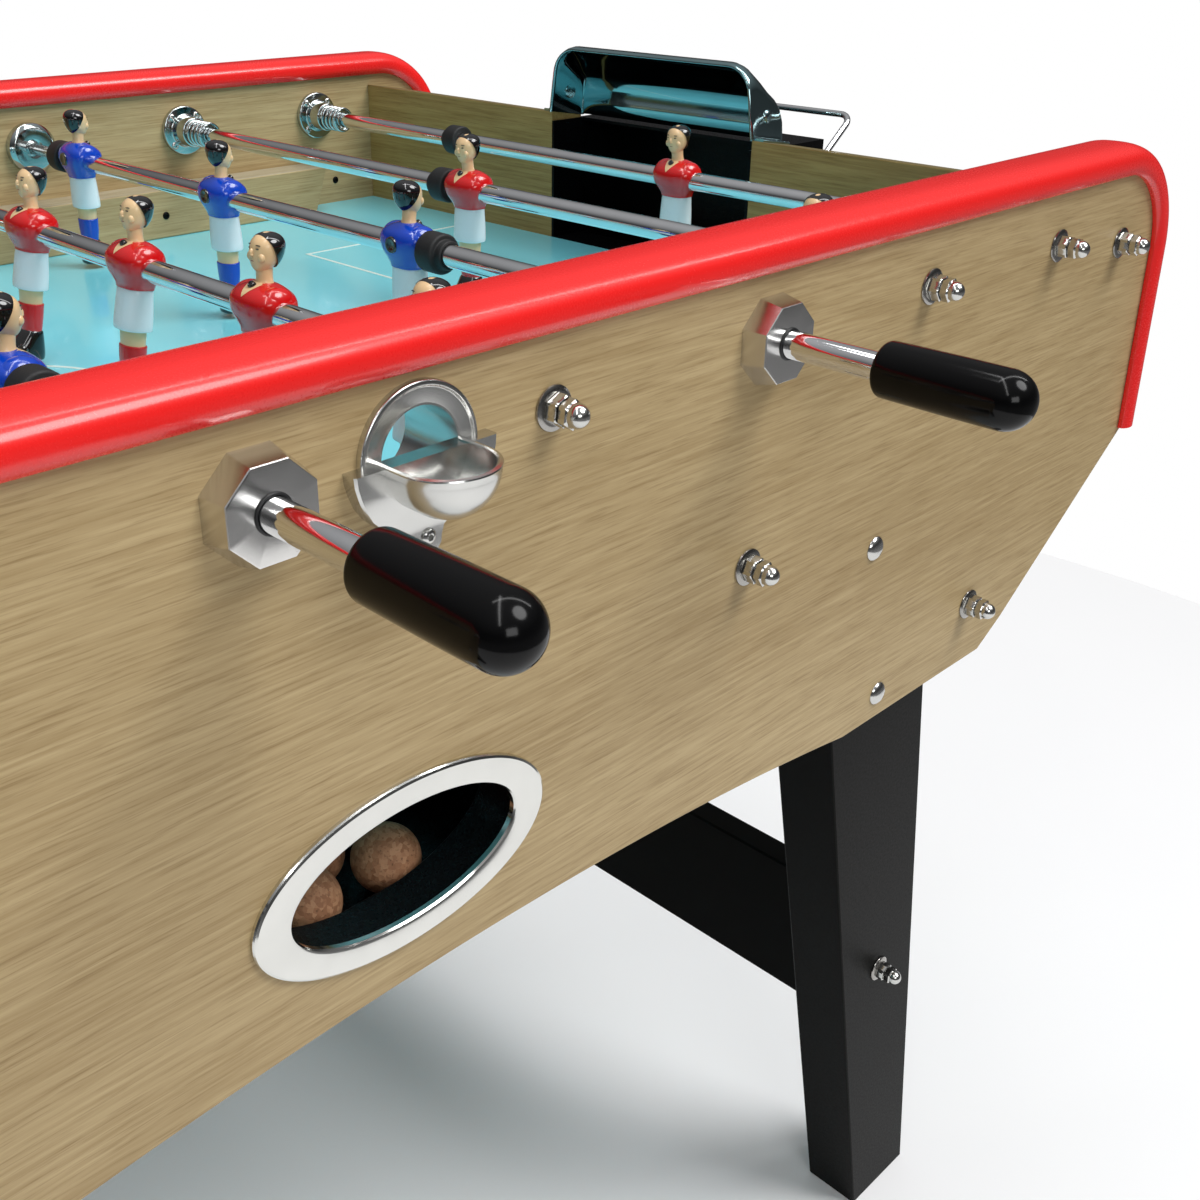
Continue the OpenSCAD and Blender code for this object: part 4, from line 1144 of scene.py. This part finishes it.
def hair():
    """The head's outline grown a little, cut off along a slanting hairline."""
    crown = Shape()
    grown = [(z, cx - 0.7, rx * 1.06 + 0.5, ry * 1.06 + 0.4) for z, cx, rx, ry in HEAD[1:]]
    body_part(crown, grown, 0)
    bm = bmesh.new()
    made = [bm.verts.new(v) for v in crown.verts]
    for face in crown.faces:
        bm.faces.new([made[i] for i in face])
    bmesh.ops.bisect_plane(bm, geom=bm.verts[:] + bm.edges[:] + bm.faces[:],
        plane_co=(5.6, 0, 38.0), plane_no=(0.86, 0, -0.5), clear_outer=True)
    bmesh.ops.holes_fill(bm, edges=[e for e in bm.edges if e.is_boundary])
    bm.verts.index_update()
    verts = [tuple(v.co) for v in bm.verts]
    faces = [tuple(v.index for v in f.verts) for f in bm.faces]
    bm.free()
    return verts, faces


HEAD = [(20.4, 4.4, 1.4, 1.6), (20.9, 4.0, 3.0, 2.9), (22.6, 3.2, 5.1, 4.5), (25.4, 2.6, 6.7, 6.0),
    (28.4, 2.1, 7.6, 6.9), (31.4, 1.8, 7.9, 7.4), (34.4, 1.4, 7.8, 7.4), (37.0, 0.9, 6.7, 6.5),
    (39.0, 0.4, 4.7, 4.6), (40.1, 0.2, 2.2, 2.2), (40.3, 0.1, 0.5, 0.5)]
HEAD_SCALE = Matrix.Diagonal((1.05, 1.13, 1.02, 1.0))
HEAD_GROW = Matrix.Translation((1.8, 0, 30.0)) @ HEAD_SCALE @ Matrix.Translation((-2, 0, -30.3))


def figure(side):
    """Cast figure facing +X, on the rod's axis. Materials: jersey, white, skin, hair, lips."""
    s = Shape()
    body_part(s, TORSO, 0, n=40, power=TORSO_POWER)
    for sy in (-1, 1):
        s.ball((0.4, sy * 12.0, 5.2), (10.6, 7.1, 8.7), 0, rings=20, n=32)
    body_part(s, [(-11.5, 0, 7.6, 10.4), (-13, 0, 8.9, 11.9), (-18, 0.2, 9.3, 12.4),
        (-26, 0.3, 9.7, 12.9), (-33, 0.5, 9.9, 13.1), (-36.4, 0.5, 9.8, 12.9),
        (-37.4, 0.5, 9.2, 12.3), (-37.5, 0.5, 7.4, 10.0)], 1, power=2.4)
    body_part(s, [(-35, 0.3, 6.9, 9.4), (-41, 0.2, 6.7, 9.1), (-46, 0.1, 6.4, 8.7),
        (-51, 0, 6.3, 8.5)], 2, power=2.3)
    body_part(s, [(-46.6, 0, 6.4, 8.6), (-46.9, 0, 7.2, 9.4), (-48.5, 0, 7.3, 9.5),
        (-56, -0.1, 7.0, 9.1), (-62, -0.3, 6.4, 8.4), (-67, -0.4, 6.0, 7.8)], 0, power=2.3)
    body_part(s, [(-64, -0.2, 5.8, 7.6), (-65.4, -0.1, 6.9, 8.7), (-69, 0.8, 8.4, 9.4),
        (-75, 2.2, 10.6, 10.0), (-80, 2.8, 11.6, 10.2), (-83, 2.8, 11.2, 9.9),
        (-83.8, 2.8, 10.2, 9.0)], 3, power=2.5)
    body_part(s, [(10, 0.4, 5.0, 5.6), (13.6, 0.6, 4.9, 5.4), (15.4, 0.8, 4.4, 4.9),
        (18, 1.2, 4.3, 4.6), (23, 1.8, 4.6, 4.6)], 2)
    head_start = len(s.verts)
    body_part(s, HEAD, 2)
    s.add(*hair(), 3)
    s.ball((9.2, 0, 29.6), (2.0, 1.15, 2.3), 2, rings=12, n=16)
    s.ball((9.6, 0, 28.5), (1.4, 1.4, 1.1), 2, rings=10, n=16)
    for sy in (-1, 1):
        s.ball((8.6, sy * 2.8, 31.8), (0.8, 1.1, 0.45), 3, rings=10, n=14)
        s.ball((8.4, sy * 2.9, 33.6), (0.9, 1.7, 0.34), 3, rings=8, n=14)
        s.ball((6.8, sy * 4.3, 27.6), (2.0, 1.8, 2.6), 2, rings=10, n=14)
    s.ball((8.7, 0, 25.6), (0.8, 1.8, 0.36), 4, rings=8, n=14)
    s.ball((8.0, 0, 24.2), (1.1, 1.7, 0.8), 2, rings=8, n=14)
    s.verts[head_start:] = [tuple(HEAD_GROW @ Vector(v)) for v in s.verts[head_start:]]
    rows = []
    for k in range(11):
        z = 6.6 + (14.4 - 6.6) * k / 10
        half = 0.05 + 5.9 * (k / 10) ** 0.9
        rows.append([(torso_front(half * u / 6, z) + 0.22, half * u / 6, z) for u in range(-6, 7)])
    s.rings(rows, 2, close_ring=False)
    face_out = spin(90, "Z")
    s.lathe([(0, -1.0), (1.4, -1.0), (1.8, -1.5), (2.1, -1.1), (2.2, 0), (2.2, 2.0), (0, 2.0)], 3,
        n=24, matrix=Matrix.Translation((8.4, 0, 12.6)) @ spin(-35, "Y") @ face_out)
    s.lathe([(0, -0.4), (2.8, -0.5), (4.0, -1.0), (4.9, -0.8), (5.2, 0), (5.0, 3), (0, 3)], 3, n=32,
        matrix=Matrix.Translation((-13.9, 0, 2.5)) @ face_out.inverted())
    return s.mesh("figure_blue" if side < 0 else "figure_red",
        [M_JERSEY[side], M_WHITE, M_SKIN, M_HAIR, M_LIPS], sharp=50)


figure_mesh = {side: figure(side) for side in (-1, 1)}
ONE, TWO, THREE, FIVE = [0], [-156, 156], [-212, 0, 212], [-264, -132, 0, 132, 264]
FIGURES = dict(zip(RODS, (ONE, TWO, THREE, FIVE, FIVE, THREE, TWO, ONE)))
ROD_TURN = {5: 10}
BUMPER = 20.0
grip_low, grip_high = box_mm("rod1_grip")
GRIP_LONG = grip_high.y - grip_low.y
GRIP_R = (grip_high.z - grip_low.z) / 2

bumper_mesh = hollow_part("rubber_bumper", M_RUBBER,
    [(TUBE_R + 0.15, 0, 0.4), (12.5, 0, 1.6), (12.5, 15, 1.6), (9, 15.2, 0.8), (9, 20, 1.0),
    (TUBE_R + 0.15, 20, 0.4)], 0.5, 4, 64)
tip = [(GRIP_R * cos(t), -GRIP_LONG + GRIP_R - GRIP_R * sin(t))
    for t in [pi / 2 * k / 14 for k in range(14)]]
grip_profile = fillet([(TUBE_R + 0.1, 0), (GRIP_R - 0.4, 0, 3.0), (GRIP_R - 0.3, -8, 0),
    (GRIP_R, -40, 0)], 1.0, 6)[1:]
grip_profile = [(0, -0.4), (TUBE_R - 0.4, -0.4), (TUBE_R + 0.1, 0)] + grip_profile + tip
grip_shape = Shape().lathe(grip_profile + [(0, -GRIP_LONG)], n=72)
grip_mesh = grip_shape.mesh("hand_grip", [M_GRIP], sharp=40)


def tube_mesh(name, start, stop):
    outline = [(4.65, start), (TUBE_R, start), (TUBE_R, stop), (4.65, stop)]
    return hollow_part(name, M_CHROME, outline, 0.6, 3, 64, sharp=40)


for i in RODS:
    rod = "rod%d_" % i
    slider, spinner = rod + "slider", rod + "spinner"
    side = ROD_SIDE[i]
    f_low, f_high = box_mm(rod + "figures")
    b_low, b_high = box_mm(rod + "bumpers")
    t_low, t_high = box_mm(rod + "tube")
    g_low, g_high = box_mm(rod + "grip")
    middle = (f_low.y + f_high.y) / 2
    lean = spin(ROD_TURN.get(i, 0), "Y") @ move(turn=facing(side))
    for k, y in enumerate(FIGURES[i]):
        place("figure_%d_%d" % (i, k + 1), figure_mesh[side], spinner,
            move(ROD_X[i], middle + y, ROD_Z) @ lean,
            [rod + "figures"])
    for k, y, turn in ((1, b_high.y - BUMPER, 0), (2, b_low.y + BUMPER, 180)):
        place("bumper_%d_%d" % (i, k), bumper_mesh, slider,
            move(ROD_X[i], y, ROD_Z, turn), [rod + "bumpers"])
    place("tube_%d" % i, tube_mesh("tube_%d" % i, t_low.y, t_high.y), spinner,
        move(ROD_X[i], 0, ROD_Z), [rod + "tube"])
    inner_end = g_high.y if side < 0 else g_low.y
    place("grip_%d" % i, grip_mesh, spinner,
        move(ROD_X[i], inner_end, ROD_Z, facing(side)), [rod + "grip"])


# ---- floor, light and camera

def floor_material():
    m = Nodes("pale_floor")
    cloud = m.noise(1.2, detail=3.0)
    fine = m.noise(180.0, detail=3.0)
    m.colour(m.mix(m.span(cloud, 0.0, 1.0, 0.3, 0.7), (0.95, 0.95, 0.95), (0.92, 0.92, 0.925)))
    m.rough(m.span(fine, 0.5, 0.62))
    return m.material


FLOOR_R = 1900.0
floor = Shape().add([(x, y, 0) for x, y in ellipse(0, 0, FLOOR_R, FLOOR_R)], [tuple(range(96))])
floor_piece = scene_object("studio_floor", floor.mesh("studio_floor", [floor_material()],
    flat=True))


def studio_world():
    """White for the camera; for light and reflections a dim room, brighter above and below."""
    world = bpy.data.worlds.new("studio")
    world.use_nodes = True
    tree = world.node_tree
    room = tree.nodes["Background"]
    coords = tree.nodes.new("ShaderNodeTexCoord")
    split = add_node(tree, "ShaderNodeSeparateXYZ", {"Vector": coords.outputs["Generated"]})
    height = add_node(tree, "ShaderNodeMapRange", {"Value": split.outputs["Z"], "From Min": -1.0})
    greys = ((0.0, 0.21), (0.36, 0.20), (0.50, 0.06), (0.60, 0.05), (0.78, 0.25), (1.0, 0.46))
    stops = [(at, (grey, grey, grey * 1.02)) for at, grey in greys]
    tree.links.new(colour_ramp(tree, height.outputs["Result"], stops), room.inputs["Color"])
    backdrop = add_node(tree, "ShaderNodeBackground", {"Color": (1, 1, 1, 1)})
    path = tree.nodes.new("ShaderNodeLightPath")
    blend = add_node(tree, "ShaderNodeMixShader", {0: path.outputs["Is Camera Ray"],
        1: room.outputs["Background"], 2: backdrop.outputs["Background"]})
    tree.links.new(blend.outputs["Shader"], tree.nodes["World Output"].inputs["Surface"])
    bpy.context.scene.world = world


studio_world()


def aim(light, at, target):
    """Hangs a light at a point, shining at another."""
    lamp = scene_object(light.name, light)
    lamp.location = at
    lamp.rotation_mode = "QUATERNION"
    lamp.rotation_quaternion = (Vector(target) - Vector(at)).to_track_quat("-Z", "Y")


def area_light(name, at, target, size, power):
    light = bpy.data.lights.new(name, "AREA")
    light.shape = "RECTANGLE"
    light.size, light.size_y = size
    light.energy = power
    aim(light, at, target)


sun = bpy.data.lights.new("sun", "SUN")
sun.energy = 2.15
sun.angle = radians(32)
aim(sun, (0.9, -1.5, 2.2), (0, 0, 0))
area_light("strip_left", (-0.5, -0.6, 2.7), (-0.1, -0.2, 0.8), (0.14, 3.2), 13.5)
area_light("strip_right", (0.9, -0.4, 2.7), (0.4, -0.1, 0.8), (0.14, 3.2), 13.5)
area_light("front", (-0.7, -2.2, 1.5), (0.1, -0.3, 0.7), (0.9, 0.6), 8)

FOCAL_PX = 1383.9
CENTRE_PX = (554.9, 558.1)
FRAME_PX = 1200.0
YAW, PITCH, ROLL = (radians(a) for a in (44.9, -25.39, 0.43))
forward = Vector((sin(YAW) * cos(PITCH), cos(YAW) * cos(PITCH), sin(PITCH)))
right = Vector((cos(YAW), -sin(YAW), 0))
up = right.cross(forward)
right, up = right * cos(ROLL) + up * sin(ROLL), up * cos(ROLL) - right * sin(ROLL)
camera_data = bpy.data.cameras.new("camera")
camera_data.sensor_width = 36.0
camera_data.lens = 36.0 * FOCAL_PX / FRAME_PX
camera_data.shift_x = (FRAME_PX / 2 - CENTRE_PX[0]) / FRAME_PX
camera_data.shift_y = (CENTRE_PX[1] - FRAME_PX / 2) / FRAME_PX
camera_data.clip_start = 0.01
camera_data.clip_end = 60.0
camera = scene_object("camera", camera_data)
camera.matrix_world = Matrix.Translation((-0.3190, -0.8092, 1.0527)) @ Matrix((right, up,
    -forward)).transposed().to_4x4()
bpy.context.scene.camera = camera
bpy.context.scene.view_settings.view_transform = "Standard"
